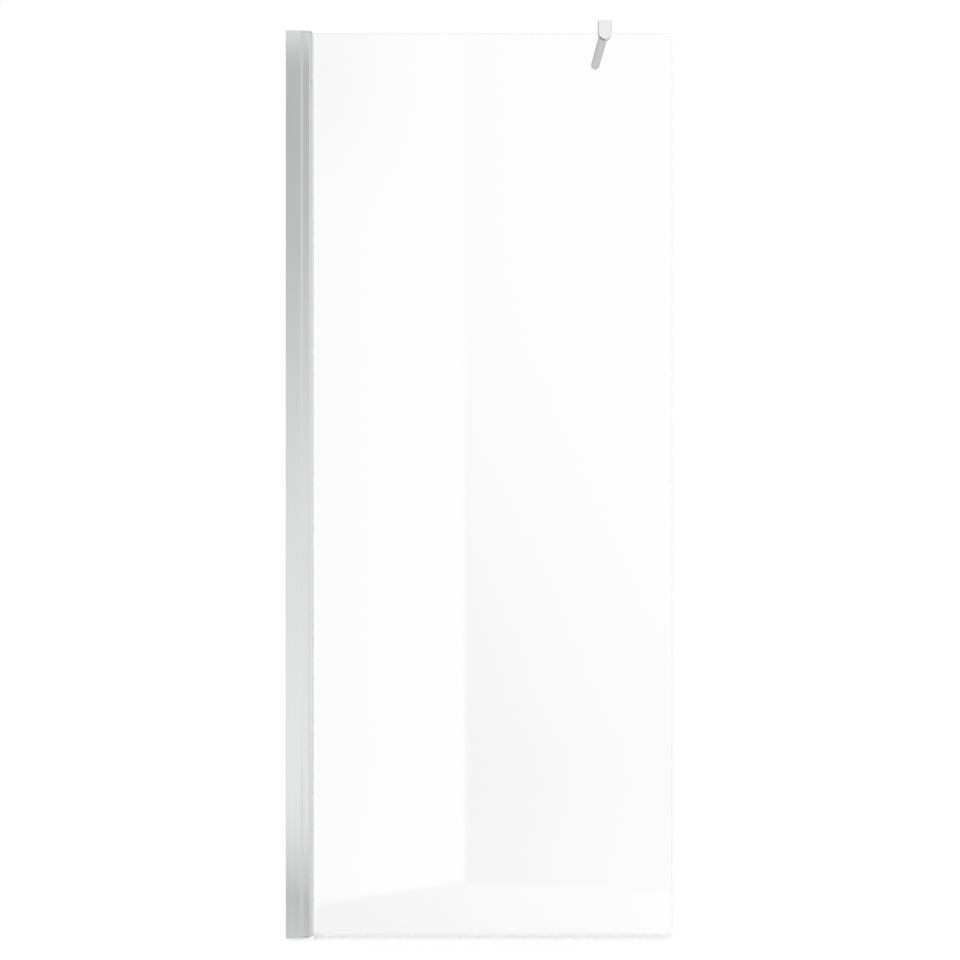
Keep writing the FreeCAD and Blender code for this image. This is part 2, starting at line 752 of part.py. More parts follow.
def clamp_pressure_pad():
    """A plain disc that the grub screw presses on the glass."""
    body = new_body("clamp_pressure_pad", clamp_x, 0, bar_z - s.grip_drop)
    corners = ((pad_face, 0), (pad_face, s.pad_radius), (grip_start, s.pad_radius), (grip_start, 0))
    turned_along_y(body, "disc", corners)


def clamp_grub_screw():
    """The grub screw behind the pressure pad, with a hexagon socket in its back."""
    body = new_body("clamp_grub_screw", clamp_x, 0, bar_z - s.grip_drop)
    corners = (
        (grip_start, 0),
        (grip_start, s.grip_radius),
        (grip_end, s.grip_radius),
        (grip_end, 0),
    )
    turned_along_y(body, "grub_screw", corners)
    socket = facing_y(body, "socket_shape", grip_end)
    hexagon(socket, 0, 0, 2 * s.grip_radius * s.socket_share)
    pocket(body, socket, "socket", s.grip_radius, reverse=True)


def bar_stud():
    """The threaded stud that joins bar and clamp above the glass."""
    body = new_body("bar_stud", clamp_x, 0, bar_z)
    front = -s.stud_front
    back = front + s.stud_length
    waist = s.stud_radius - s.stud_bevel
    corners = (
        (front, 0),
        (front, waist),
        (front + s.stud_bevel, s.stud_radius),
        (back - s.stud_bevel, s.stud_radius),
        (back, waist),
        (back, 0),
    )
    turned_along_y(body, "stud", corners)


def plug(label, start, end, outside, bore):
    """A plain ring inside the support bar."""
    body = new_body(label, clamp_x, 0, bar_z)
    turned_along_y(body, "ring", ((start, bore), (start, outside), (end, outside), (end, bore)))
    return body


def lock_bore(body, radius):
    """The hole for the bar's grub screw, cut up from below the bar."""
    place = sketch_on(body, "XY_Plane", "lock_bore_place", -2 * s.bar_radius)
    circle(place, 0, boss_lock_y, radius)
    pocket(body, place, "lock_bore", 2 * s.bar_radius, reverse=True)


def support_bar():
    """The round tube from the clamp to the wall boss."""
    body = new_body("support_bar", clamp_x, 0, bar_z)
    corners = (
        (clamp_back, bar_bore),
        (clamp_back, s.bar_radius),
        (bar_far, s.bar_radius),
        (bar_far, bar_bore),
    )
    turned_along_y(body, "tube", corners)
    lock_bore(body, s.boss_lock_radius + s.thread_clearance)


def bar_plugs():
    """The threaded plug at the clamp's end and the bored one at the wall's end."""
    plug("bar_insert", clamp_back, clamp_back + s.insert_length, plug_radius, stud_bore)
    sleeve = plug("bar_sleeve", bar_far - s.sleeve_length, bar_far, plug_radius, sleeve_bore)
    lock_bore(sleeve, s.boss_lock_radius + s.thread_clearance)


def boss_grub_screw():
    """The grub screw that holds the bar on the wall boss, upright in the bar's underside."""
    body = new_body("boss_grub_screw", clamp_x, boss_lock_y, bar_z)
    low = -(s.bar_radius - s.boss_lock_sunk)
    high = -(s.spigot_radius + s.boss_lock_gap)
    shape = sketch_on(body, "XY_Plane", "grub_screw_shape", low)
    circle(shape, 0, 0, s.boss_lock_radius)
    pad(body, shape, "grub_screw", high - low)
    socket = sketch_on(body, "XY_Plane", "socket_shape", low)
    hexagon(socket, 0, 0, 2 * s.boss_lock_radius * s.socket_share)
    pocket(body, socket, "socket", s.boss_lock_radius, reverse=True)


def wall_boss():
    """The disc on the wall, whose spigot enters the bar, with one screw hole through both."""
    body = new_body("wall_boss", clamp_x, 0, bar_z)
    disc_face = s.support_reach - s.boss_thickness
    tip = disc_face - s.spigot_length
    corners = (
        (tip, s.boss_bore + s.boss_sink),
        (tip, s.spigot_radius),
        (disc_face, s.spigot_radius),
        (disc_face, s.bar_radius),
        (s.support_reach, s.bar_radius),
        (s.support_reach, s.boss_bore),
        (tip + s.boss_sink, s.boss_bore),
    )
    turned_along_y(body, "boss", corners)


def build_all():
    wall_profile()
    end_cap("top_cap", s.screen_height - s.cap_thickness, profile_nose - s.cap_setback, True)
    end_cap("bottom_cap", 0, seal_start - s.adjust_travel - s.cap_setback, False)
    lock_screws()
    lock_nuts()
    cap_washers()
    screw_caps()
    glass_profile()
    glass_panel()
    glazing_seal("glazing_seal_front", -1)
    glazing_seal("glazing_seal_back", 1)
    glazing_packers()
    bottom_seal()
    clamp_block()
    clamp_liner()
    clamp_pressure_pad()
    clamp_grub_screw()
    bar_stud()
    support_bar()
    bar_plugs()
    boss_grub_screw()
    wall_boss()


def check_and_write():
    """Checks every object of the document, then writes one STEP file for each sub-part."""
    DOC.recompute()
    for thing in DOC.Objects:
        if "Invalid" in thing.State or "Error" in thing.State:
            raise RuntimeError(f"{thing.Label} failed: {thing.State}")
    bodies = [thing for thing in DOC.Objects if thing.TypeId == "PartDesign::Body"]
    for body in bodies:
        if body.Shape.isNull() or not body.Shape.isValid():
            raise RuntimeError(f"{body.Label} has no valid shape")
    os.makedirs("parts", exist_ok=True)
    for body in bodies:
        body.Shape.exportStep(f"parts/{body.Label}.step")
        box = body.Shape.BoundBox
        spans = f"x {box.XMin:.1f}..{box.XMax:.1f}, y {box.YMin:.1f}..{box.YMax:.1f}"
        solids = len(body.Shape.Solids)
        print(f"{body.Label}: {solids} solid(s), {spans}, z {box.ZMin:.1f}..{box.ZMax:.1f}")


build_all()
check_and_write()
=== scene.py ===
# %% [markdown]
# # A bath screen in a wall channel
# The screen is one sheet of toughened glass in two aluminium sections that slide in each other. A
# chrome clamp and a round bar hold its upper edge to the other wall, and a clear seal closes the
# gap to the bath's rim. The shapes come from the measured frame. This script adds the finishes,
# the fine shapes, the light and the view.

# %% Load the frame
import math

import bmesh
import bpy
from mathutils import Matrix, Vector


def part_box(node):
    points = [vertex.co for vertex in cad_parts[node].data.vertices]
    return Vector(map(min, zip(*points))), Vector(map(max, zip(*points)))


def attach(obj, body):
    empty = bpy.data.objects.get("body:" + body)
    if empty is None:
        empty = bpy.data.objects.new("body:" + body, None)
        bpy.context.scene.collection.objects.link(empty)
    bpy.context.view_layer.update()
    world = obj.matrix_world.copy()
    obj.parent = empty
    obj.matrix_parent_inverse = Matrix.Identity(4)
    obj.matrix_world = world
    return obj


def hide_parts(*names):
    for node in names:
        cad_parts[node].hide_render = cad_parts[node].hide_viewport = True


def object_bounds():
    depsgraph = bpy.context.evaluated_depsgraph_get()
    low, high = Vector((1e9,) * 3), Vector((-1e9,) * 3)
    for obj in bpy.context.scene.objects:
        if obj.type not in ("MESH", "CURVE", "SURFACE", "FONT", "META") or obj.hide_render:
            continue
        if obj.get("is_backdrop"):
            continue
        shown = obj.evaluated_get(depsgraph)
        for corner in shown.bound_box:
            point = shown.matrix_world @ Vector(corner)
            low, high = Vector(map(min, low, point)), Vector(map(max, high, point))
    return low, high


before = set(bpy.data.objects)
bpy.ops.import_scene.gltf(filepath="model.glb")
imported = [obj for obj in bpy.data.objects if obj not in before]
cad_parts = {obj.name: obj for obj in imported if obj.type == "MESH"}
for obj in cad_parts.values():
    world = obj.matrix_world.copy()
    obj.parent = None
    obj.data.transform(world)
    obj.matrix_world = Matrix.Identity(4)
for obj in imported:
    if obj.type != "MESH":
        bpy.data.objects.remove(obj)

CAD_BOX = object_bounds()
MM = 0.001
scene = bpy.context.scene
print("frame box in mm:", [[round(v / MM, 1) for v in corner] for corner in CAD_BOX])

# %% [markdown]
# ## The camera
# The glass shows no perspective, but the bar runs back and to the left, which fixes where the
# camera stood: level with the middle of the glass, 3.7 m in front of it. A camera is placed either
# by eye or from two measured distances. Here the span of the picture at the glass and the camera's
# distance give the lens directly.

# %% Place the camera
CAMERA_PLACE = Vector((0.2984, -3.7, 0.7049))
SPAN_AT_GLASS = 1.481
PICTURE_WIDTH = 960


def placed(name, data):
    """A new object of the data, in the scene."""
    made = bpy.data.objects.new(name, data)
    scene.collection.objects.link(made)
    return made


camera_data = bpy.data.cameras.new("camera")
camera_data.sensor_width = 36
camera_data.lens = camera_data.sensor_width * -CAMERA_PLACE.y / SPAN_AT_GLASS
camera = placed("camera", camera_data)
camera.location = CAMERA_PLACE
camera.rotation_euler = (math.radians(90), 0, 0)
scene.camera = camera
scene.view_settings.view_transform = "Standard"
pixel = SPAN_AT_GLASS / PICTURE_WIDTH / MM
print(f"lens {camera_data.lens:.2f} mm, one pixel is {pixel:.3f} mm at the glass")

# %% [markdown]
# ## Node trees as expressions
# A finish is a small calculation: noise here, a mask there, added and scaled. Dragging nodes works
# for one material, but the sum is easier to read as arithmetic. A Wire wraps a socket, so
# `1 - mask * 0.3` adds the Math nodes by itself, and one method makes every other node from its
# type, its settings and its sockets.


# %% Write node trees in Python
class Wire:
    """A node's output that Python arithmetic can carry on from."""

    def __init__(self, tree, socket):
        self.tree = tree
        self.socket = socket

    def math(self, operation, *values):
        sockets = dict(enumerate(values))
        return self.tree.node("ShaderNodeMath", {"operation": operation}, sockets)

    def __add__(self, other):
        return self.math("ADD", self, other)

    def __sub__(self, other):
        return self.math("SUBTRACT", self, other)

    def __rsub__(self, other):
        return self.math("SUBTRACT", other, self)

    def __mul__(self, other):
        return self.math("MULTIPLY", self, other)

    def __truediv__(self, other):
        return self.math("DIVIDE", self, other)

    __radd__ = __add__
    __rmul__ = __mul__

    def least(self, other):
        return self.math("MINIMUM", self, other)

    def most(self, other):
        return self.math("MAXIMUM", self, other)

    def step(self, low, high):
        """0 below low, 1 above high and an easy curve between."""
        sockets = {"Value": self, "From Min": low, "From Max": high}
        return self.tree.node("ShaderNodeMapRange", {"interpolation_type": "SMOOTHSTEP"}, sockets)

    def toward(self, other, share):
        """This value at share 0 and the other at share 1."""
        return self + (other - self) * share

    def of(self, output):
        """Another output of the same node."""
        return Wire(self.tree, self.socket.node.outputs[output])


class Tree:
    """A node tree whose nodes come from one method."""

    def __init__(self, nodes):
        self.nodes = nodes
        nodes.nodes.clear()

    def node(self, kind, settings=None, sockets=None, out=0):
        made = self.nodes.nodes.new(kind)
        for name, value in (settings or {}).items():
            if name == "stops":
                self.set_stops(made.color_ramp, value)
            else:
                setattr(made, name, value)
        for name, value in (sockets or {}).items():
            if isinstance(value, Wire):
                self.nodes.links.new(value.socket, made.inputs[name])
            else:
                made.inputs[name].default_value = value
        return Wire(self, made.outputs[out]) if made.outputs else made

    @staticmethod
    def set_stops(ramp, stops):
        while len(ramp.elements) < len(stops):
            ramp.elements.new(1.0)
        for element, (place, level) in zip(ramp.elements, stops):
            element.position = place
            element.color = (level, level, level, 1)

    def blend(self, share, a, b):
        """Colour a at share 0 and colour b at share 1."""
        sockets = {0: share, 6: a, 7: b}
        return self.node("ShaderNodeMix", {"data_type": "RGBA"}, sockets, out=2)

    def mix(self, share, a, b):
        """Shader a at share 0 and shader b at share 1."""
        return self.node("ShaderNodeMixShader", None, {0: share, 1: a, 2: b})


print("expressions ready:", ", ".join(name for name in dir(Wire) if not name.startswith("__")))

# %% [markdown]
# ## The studio
# Glass and bright metal show little but their surroundings, so the room decides how they look. The
# picture's ground is plain white, while the glass mirrors the corner of a pale room: two walls and
# a floor. Panels could be modelled round the object. A world that depends on direction does the
# same and is the same from any side. Dividing a ray's direction by its part along Y says where it
# meets a flat picture of the room, so the room can be drawn there in lines and shades.

# %% Find where a ray meets the room
world = bpy.data.worlds.new("studio")
scene.world = world
world.use_nodes = True
room = Tree(world.node_tree)
x = room.node("ShaderNodeSeparateXYZ", None, {0: room.node("ShaderNodeTexCoord", out="Generated")})
y, z = x.of("Y"), x.of("Z")
depth = y.math("ABSOLUTE", y).most(0.02)
across, up = x / depth, z / depth
behind = y.math("GREATER_THAN", y, 0)
print("a ray meets the room at across = x / |y| and up = z / |y|")

# %% Draw the corner that the glass mirrors
CORNER, CORNER_BLUR = -0.00625, 0.0012
FLOOR_LINE, FLOOR_BLUR = -0.1676, 0.0015

from_corner = across - CORNER
# the floor's line climbs to the corner from both sides
line = from_corner.least(0) * 0.15 - from_corner.most(0) * 0.04 + FLOOR_LINE
# the left wall is paler near the corner and dim towards the ceiling
dim_top = up.step(0.10, 0.165) * (1 - across.step(-0.055, -0.012))
left_wall = across.step(-0.066, -0.035) * 0.27 + 0.66 - dim_top * 0.42
# the right wall gets paler upwards and to the right
right_wall = ((up - line).step(0.02, 0.28) * 0.69 + from_corner * 7.8).least(0.95)
walls = left_wall.toward(right_wall, from_corner.step(-CORNER_BLUR, CORNER_BLUR))
# the floor gets paler to the right and is dim near the object
floor_level = (from_corner * 6.3 + 0.35).most(0).least(0.9) - (0 - up).step(0.25, 0.6) * 0.45
corner_of_room = floor_level.toward(walls, (up - line).step(-FLOOR_BLUR, FLOOR_BLUR))
print("corner at", CORNER, "across, floor's line at", FLOOR_LINE, "up")

# %% Draw the end wall that the aluminium faces
END_WALL_EDGE = (-0.0689, -0.0683)
# (height, level) stops: brightest just below the middle, dim near floor and ceiling
END_WALL = (
    (-0.25, 0.92), (-0.19, 0.77), (-0.178, 0.69), (-0.1745, 0.655), (-0.169, 0.735),
    (-0.156, 0.87), (-0.144, 0.97), (-0.13, 1.025), (-0.105, 1.025), (-0.05, 0.97),
    (0.0, 0.905), (0.056, 0.77), (0.1, 0.672), (0.14, 0.632), (0.1735, 0.63),
    (0.179, 0.735), (0.186, 0.91), (0.25, 0.96),
)
stops = [(height * 2 + 0.5, level) for height, level in END_WALL]
end_wall = room.node("ShaderNodeValToRGB", {"stops": stops}, {"Fac": up * 2 + 0.5})
end_wall = end_wall * (across.step(-0.079, -0.071) * 0.04 + 1)
front = end_wall.toward(corner_of_room, across.step(*END_WALL_EDGE))
print("end wall:", len(END_WALL), "stops, left of", END_WALL_EDGE[0], "across")

# %% Draw the back of the room and what lies beside it
ceiling_light = up.step(0.4, 1.2) * 0.5
back = 0.525 - up.least(0.4).most(-0.4) * 0.35 + ceiling_light + across.step(0.22, 0.45) * 0.4
facing_room = front.toward(back, behind)
# a dark part, low on the left, which the clamp's rounded foot mirrors
low_left = (0 - x).step(0.2, 0.5) * (0 - z).step(0.25, 0.45) * (1 - y.step(0.6, 0.85))
low_left = low_left * (y.step(-0.65, -0.45) * 0.75 + 0.25)
# beside, above and below: dim low down, but pale straight below
dim_floor = (0 - z).step(0.5, 0.8) * 0.45
beside = x * 0.13 + z * 0.1 + 0.87 - dim_floor + (0 - z).step(0.88, 0.98) * 0.4
all_round = beside.toward(facing_room, depth.step(0.3, 0.62)) * (1 - low_left * 0.92)
print("room so far:", len(room.nodes.nodes), "nodes")

# %% Let in daylight from the right and hang a dark curtain on the left
squares = x * x + y * y
level_part = squares.math("SQRT", squares)
turn = x / level_part.most(0.001)
from_sill = z + 0.09
window = 1.02 - from_sill.most(0).least(0.3) + from_sill.least(0).most(-0.12) * 2.8
all_round = all_round.toward(window, turn.step(0.45, 0.75) * level_part.step(0.3, 0.6))
# the curtain draws the dark line at the rounded edge of the metal
left_curtain = turn.step(-0.98, -0.88) * (1 - turn.step(-0.75, -0.5)) * (1 - behind)
mirrored_room = all_round * (1 - left_curtain * 0.75)
print("room:", len(room.nodes.nodes), "nodes")

# %% [markdown]
# ## White for the camera, a room for the mirrors
# One world has to be a white ground in the picture and a room in every mirror image. Light Path
# knows what a ray has met so far. Camera rays, and rays that only crossed the glass, see white.
# Mirrored rays see the room. Rays that a matt surface scattered see one even level.

# %% Show white to the camera and the room to whatever mirrors it
AMBIENT = 0.84

light_path = room.node("ShaderNodeLightPath", out="Is Camera Ray")
mirrored = light_path.of("Glossy Depth").least(1)
scattered = light_path.of("Diffuse Depth").least(1)
crossed = light_path.of("Is Transmission Ray")
# what the clamp's foot mirrors through the glass, down and to the left, stays dark
under_clamp = (0 - x).step(-0.15, 0.05) * (0 - z).step(-0.15, 0.05)
seen_through = crossed * (1 - mirrored * (1 - behind * (1 - under_clamp)))
mirrored_room = mirrored_room * (1 - crossed * under_clamp * behind * 0.85)
level = (mirrored_room - AMBIENT) * mirrored * (1 - scattered) + AMBIENT
level = level.toward(1, light_path.most(seen_through))
white_sky = {"Color": (1, 1, 1, 1), "Strength": level}
ground = room.node("ShaderNodeBackground", None, white_sky)
room.node("ShaderNodeOutputWorld", None, {"Surface": ground})
world.cycles.sampling_method = "NONE"
print("world:", len(room.nodes.nodes), "nodes, matt surfaces get", AMBIENT)

# %% [markdown]
# ## Lamps and floor
# Two large, soft lamps stand high in front, so that plastic and seals get a gentle shade and no
# hard shadow. They light the matt surfaces only, because the room above already gives what metal
# and glass mirror. The floor is white to the camera, but a share of it is real paint, and that
# share keeps the shadow under the screen. To mirrored rays it is clear.

# %% Set up the lamps
LAMP_TARGET = Vector((0.3, 0, 0.7))
for name, place, power, size in (
    ("key_lamp", (-1.4, -1.8, 4.0), 52, 3.0),
    ("fill_lamp", (2.4, -1.6, 3.4), 28, 2.6),
):
    lamp_data = bpy.data.lights.new(name, "AREA")
    lamp_data.energy, lamp_data.size = power, size
    lamp = placed(name, lamp_data)
    lamp.location = place
    lamp.rotation_euler = (LAMP_TARGET - Vector(place)).to_track_quat("-Z", "Y").to_euler()
    lamp.visible_camera = lamp.visible_glossy = lamp.visible_transmission = False
    print(name, "has", power, "W and is", size, "m wide")

# %% Lay the floor
FLOOR_LEVEL = CAD_BOX[0].z - 0.0002
FLOOR_RADIUS = 14


def finish_tree(name):
    """A new material and the tree to write it in."""
    made = bpy.data.materials.new(name)
    made.use_nodes = True
    return made, Tree(made.node_tree)


def shown_as(tree, shader):
    tree.node("ShaderNodeOutputMaterial", None, {"Surface": shader})


def plain_mesh(name, verts, faces):
    mesh = bpy.data.meshes.new(name)
    mesh.from_pydata(verts, [], faces)
    return mesh


paint, tree = finish_tree("pale_floor")
path = tree.node("ShaderNodeLightPath", out="Is Camera Ray")
spot = tree.node("ShaderNodeTexCoord", out="Object")
away = tree.node("ShaderNodeVectorMath", {"operation": "LENGTH"}, {0: spot}, out="Value")
matt = tree.node("ShaderNodeBsdfDiffuse", None, {"Color": (0.98, 0.98, 0.98, 1)})
white = tree.node("ShaderNodeEmission", None, {"Color": (1, 1, 1, 1), "Strength": 1.0})
seen = path.most(path.of("Is Transmission Ray")) * (away.step(0.5, 4.0) * 0.16 + 0.84)
clear = tree.node("ShaderNodeBsdfTransparent")
shown_as(tree, tree.mix(path.of("Glossy Depth").least(1), tree.mix(seen, matt, white), clear))

turns = [math.radians(degrees) for degrees in range(0, 360, 5)]
rim = [(FLOOR_RADIUS * math.cos(t), FLOOR_RADIUS * math.sin(t), FLOOR_LEVEL) for t in turns]
floor = placed("floor", plain_mesh("floor", rim, [list(range(len(rim)))]))
floor.data.materials.append(paint)
floor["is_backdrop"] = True
print(f"floor at {FLOOR_LEVEL / MM:.1f} mm, just under the seal's fins")

# %% [markdown]
# ## Drawn aluminium
# Both sections are pressed through a die, polished and anodised. Up close, fine lines run along
# the whole length, a little duller than the metal between them. An image of such lines would
# repeat, so noise is used instead. It is stretched about a thousand times along Z, which turns its
# spots into lines.


# %% Make the aluminium
def noise(tree, stretch, detail=3.0, roughness=0.55):
    """Noise from 0 to 1, with that many features per metre along each axis."""
    place = tree.node("ShaderNodeTexCoord", out="Object")
    scaled = tree.node("ShaderNodeMapping", None, {"Vector": place, "Scale": stretch})
    sockets = {"Vector": scaled, "Scale": 1.0, "Detail": detail, "Roughness": roughness}
    return tree.node("ShaderNodeTexNoise", None, sockets)


def surface(tree, sockets, height, depth):
    """A Principled shader, with a Bump of that depth in metres."""
    bump = {"Strength": 1.0, "Distance": depth, "Height": height}
    sockets = {**sockets, "Normal": tree.node("ShaderNodeBump", None, bump)}
    return tree.node("ShaderNodeBsdfPrincipled", None, sockets)


def show_metal(tree, tone, dull, marks, depth):
    """Ends the tree in a metal with marks of that depth in metres."""
    sockets = {"Base Color": tone, "Metallic": 1.0, "Roughness": dull}
    shown_as(tree, surface(tree, sockets, marks, depth))


aluminium, tree = finish_tree("drawn_aluminium")
die_lines = noise(tree, (900, 900, 0.9), 4.0, 0.65)
hair_lines = noise(tree, (4200, 4200, 6.0), 2.0)
clouds = noise(tree, (22, 22, 5), 2.0)
lines = die_lines * 0.6 + hair_lines * 0.4
tone = tree.blend(lines.step(0.25, 0.75), (0.74, 0.745, 0.75, 1), (0.77, 0.775, 0.78, 1))
dull = (1 - lines).step(0.35, 0.8) * 0.025 + clouds * 0.015 + 0.02
show_metal(tree, tone, dull, lines, depth=0.0000001)
print("aluminium:", len(tree.nodes.nodes), "nodes")

# %% [markdown]
# ## Chrome and steel
# The clamp, the bar and the boss are chromed brass: nearly a mirror, with faint wiping marks. The
# screws are plain bright steel, turned on a lathe, so their marks run round the axis. A mirror
# needs very little: a slight change of roughness is what tells the eye that it is a surface and
# not a hole.

# %% Make chrome and steel
chrome, tree = finish_tree("polished_chrome")
wiping = noise(tree, (260, 70, 260), 3.0, 0.6)
film = noise(tree, (45, 45, 45), 2.0)
tone = tree.blend(film, (0.86, 0.868, 0.88, 1), (0.885, 0.89, 0.9, 1))
dull = wiping.step(0.45, 0.8) * 0.05 + film * 0.03 + 0.03
show_metal(tree, tone, dull, wiping, depth=0.0000006)

steel, tree = finish_tree("bright_steel")
turning = noise(tree, (900, 5200, 900), 3.0)
stain = noise(tree, (350, 350, 350), 2.0)
tone = tree.blend(stain, (0.56, 0.57, 0.59, 1), (0.68, 0.685, 0.69, 1))
dull = turning * 0.16 + stain * 0.08 + 0.14
show_metal(tree, tone, dull, turning, depth=0.000004)
print("made", chrome.name, "and", steel.name)

# %% [markdown]
# ## Toughened glass
# The sheet is 6 mm of clear glass. Its faces are fire-polished, its edges are ground and look
# frosted and a little green, and rollers in the furnace left very long, shallow waves. A real
# refracting glass shows the second mirror image inside the sheet. It would also throw a solid
# shadow, so rays from lamps pass straight through.

# %% Make the glass
# the ground band along the edges, in from the edge, and where it stops at the faces, in metres
BAND_START, BAND_END = 0.0005, 0.0006
FACE_START, FACE_END = 0.00296, 0.00299


def place_on(tree):
    """Where a point is on its piece, in metres: the X of it, with Y and Z beside it."""
    place = tree.node("ShaderNodeTexCoord", out="Object")
    return tree.node("ShaderNodeSeparateXYZ", None, {0: place})


sheet_low, sheet_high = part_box("glass_panel")
glass, tree = finish_tree("toughened_glass")
along = place_on(tree)
height, from_middle = along.of("Z"), along.math("ABSOLUTE", along.of("Y"))
near_low = 1 - height.step(sheet_low.z + BAND_START, sheet_low.z + BAND_END)
near_high = height.step(sheet_high.z - BAND_END, sheet_high.z - BAND_START)
near_end = along.step(sheet_high.x - BAND_END, sheet_high.x - BAND_START)
near_edge = near_end.most(near_low).most(near_high)
ground_edge = near_edge * (1 - from_middle.step(FACE_START, FACE_END))
grinding = noise(tree, (1800, 1800, 1800), 3.0)
tint = tree.blend(ground_edge, (0.991, 0.9935, 0.9925, 1), (0.975, 0.992, 0.986, 1))
dull = ground_edge * (grinding * 0.16 + 0.08)
waves = noise(tree, (1.2, 1.2, 3.5), 1.0) * 0.00004 + ground_edge * grinding * 0.00001
clear = {"Base Color": tint, "Roughness": dull, "IOR": 1.5, "Transmission Weight": 1.0}
clear = surface(tree, clear, waves, depth=1.0)
frost = {"Base Color": (0.955, 0.985, 0.975, 1), "Roughness": 0.45, "IOR": 1.5, "Alpha": 0.35}
frost = surface(tree, frost, grinding, depth=0.00001)
seen_glass = tree.mix(ground_edge * 0.93, clear, frost)
lamp_light = tree.node("ShaderNodeBsdfTransparent", None, {"Color": (0.97, 0.985, 0.98, 1)})
shadow = tree.node("ShaderNodeLightPath", out="Is Shadow Ray")
shown_as(tree, tree.mix(shadow, seen_glass, lamp_light))
sheet = sheet_high - sheet_low
print(f"sheet: {sheet.x / MM:.1f} x {sheet.z / MM:.1f} x {sheet.y / MM:.1f} mm")

# %% [markdown]
# ## Vinyl and plastics
# The seals are soft clear vinyl with a slight haze and drag lines from the die. The end caps and
# snap caps are moulded in grey with a fine spark-eroded grain, and the packers are plain white
# nylon. All three are mostly one colour, so the grain and the haze carry them.

# %% Make the vinyl
# heights above the rim, and for the fins below it, over which the seal's cover changes
LEGS, LIPS, FINS = (0.0008, 0.0018), (0.0044, 0.0054), (0.001, 0.003)


def clear_vinyl(name, stretch, body, thinning_and_highlight=0.0):
    """Clear vinyl, whose drag lines run along the axis that has the small number.

    body is how much it covers. The seal's legs and lips cover less, by the share given last, and
    its fins below the rim cover a little more. The legs and lips are thin, so the white behind
    shows through them, and the brighter band this makes along the seal's top is also a painted
    highlight.
    """
    made, tree = finish_tree(name)
    drag = noise(tree, stretch, 3.0)
    haze = noise(tree, tuple(rate * 0.04 for rate in stretch), 2.0)
    tint = tree.blend(haze, (0.965, 0.972, 0.972, 1), (0.99, 0.992, 0.992, 1))
    dull = drag * 0.12 + haze * 0.06 + 0.12
    height = place_on(tree).of("Z")
    # the legs and lips let more of the white behind show through: they are thin, and the bright
    # band along the seal's top is also a painted highlight
    thinness_and_highlight = height.step(*LEGS) + height.step(*LIPS) * 0.9 - (0 - height).step(*FINS) * 0.3
    cover = haze * 0.04 + drag * 0.08 + (body - 0.06) - thinness_and_highlight * thinning_and_highlight
    sockets = {"Base Color": tint, "Roughness": dull, "IOR": 1.45, "Alpha": cover}
    shown_as(tree, surface(tree, sockets, drag, depth=0.00001))
    return made


vinyl_upright = clear_vinyl("clear_vinyl_upright", (1500, 1500, 2.0), 0.93)
vinyl_level = clear_vinyl("clear_vinyl_level", (2.0, 1500, 1500), 0.4, thinning_and_highlight=0.2)
print("made", vinyl_upright.name, "and", vinyl_level.name)


# %% Make grey plastic and nylon
def moulded(name, dark, pale, grain_depth, dullness):
    """A moulded plastic with a fine grain."""
    made, tree = finish_tree(name)
    grain = noise(tree, (3200, 3200, 3200), 3.0, 0.6)
    flow = noise(tree, (70, 70, 70), 2.0)
    tone = tree.blend(flow, (*dark, 1), (*pale, 1))
    sockets = {"Base Color": tone, "Roughness": grain * 0.14 + dullness, "IOR": 1.48}
    shown_as(tree, surface(tree, sockets, grain, grain_depth))
    return made


grey_plastic = moulded("moulded_grey", (0.55, 0.56, 0.575), (0.6, 0.61, 0.625), 0.00003, 0.34)
white_nylon = moulded("plain_nylon", (0.84, 0.84, 0.815), (0.9, 0.9, 0.885), 0.00001, 0.28)
print("made", grey_plastic.name, "and", white_nylon.name)

# %% [markdown]
# ## From outline to finished piece
# Every piece ends the same way: doubles merged, normals turned outwards, shaded smooth up to a
# crease angle, and tied to its body, with the frame's node that it stands for hidden. The last
# step also counts open edges, because an open edge is a hole in the finished part.

# %% Finish a mesh as a piece
WELD = 1e-7


def evaluated(base):
    """What an object's modifiers make, as a plain mesh. The object goes."""
    graph = bpy.context.evaluated_depsgraph_get()
    mesh = bpy.data.meshes.new_from_object(base.evaluated_get(graph))
    base.modifiers.clear()
    bpy.data.objects.remove(base)
    return mesh


def made_upright(mesh):
    """Merges doubles and turns the faces outwards. Gives the open edges and the volume."""
    work = bmesh.new()
    work.from_mesh(mesh)
    bmesh.ops.remove_doubles(work, verts=work.verts, dist=WELD)
    bmesh.ops.recalc_face_normals(work, faces=work.faces)
    open_edges = sum(not edge.is_manifold for edge in work.edges)
    volume = work.calc_volume()
    work.to_mesh(mesh)
    work.free()
    return open_edges, volume


def finished(name, mesh, body, finish, nodes, crease=30):
    """Tidies the mesh, gives it its finish and puts it on its body in place of the nodes."""
    open_edges, volume = made_upright(mesh)
    mesh.materials.clear()
    mesh.materials.append(finish)
    mesh.shade_smooth()
    mesh.set_sharp_from_angle(angle=math.radians(crease))
    flats = placed("flats", mesh)
    weighted = flats.modifiers.new("flats", "WEIGHTED_NORMAL")
    weighted.mode, weighted.weight, weighted.keep_sharp = "FACE_AREA", 100, True
    mesh = evaluated(flats)
    mesh.name = name
    made = placed(name, mesh)
    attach(made, body)
    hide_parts(*nodes)
    print(f"{name}: {len(mesh.polygons)} faces, {volume * 1e6:.3f} cm3, {open_edges} open edges")


print(f"points nearer than {WELD / MM:g} mm are merged")

# %% [markdown]
# ## A Geometry Nodes tree for every pressed section
# A section is a rule: one outline, drawn straight along one line, then drilled in rows. That is
# what a press and a drill do, and Geometry Nodes repeat it: the outline's corners are rounded,
# each by its own amount, the outline is swept, and rows of holes or slots are cut out. Another
# length is only another number.


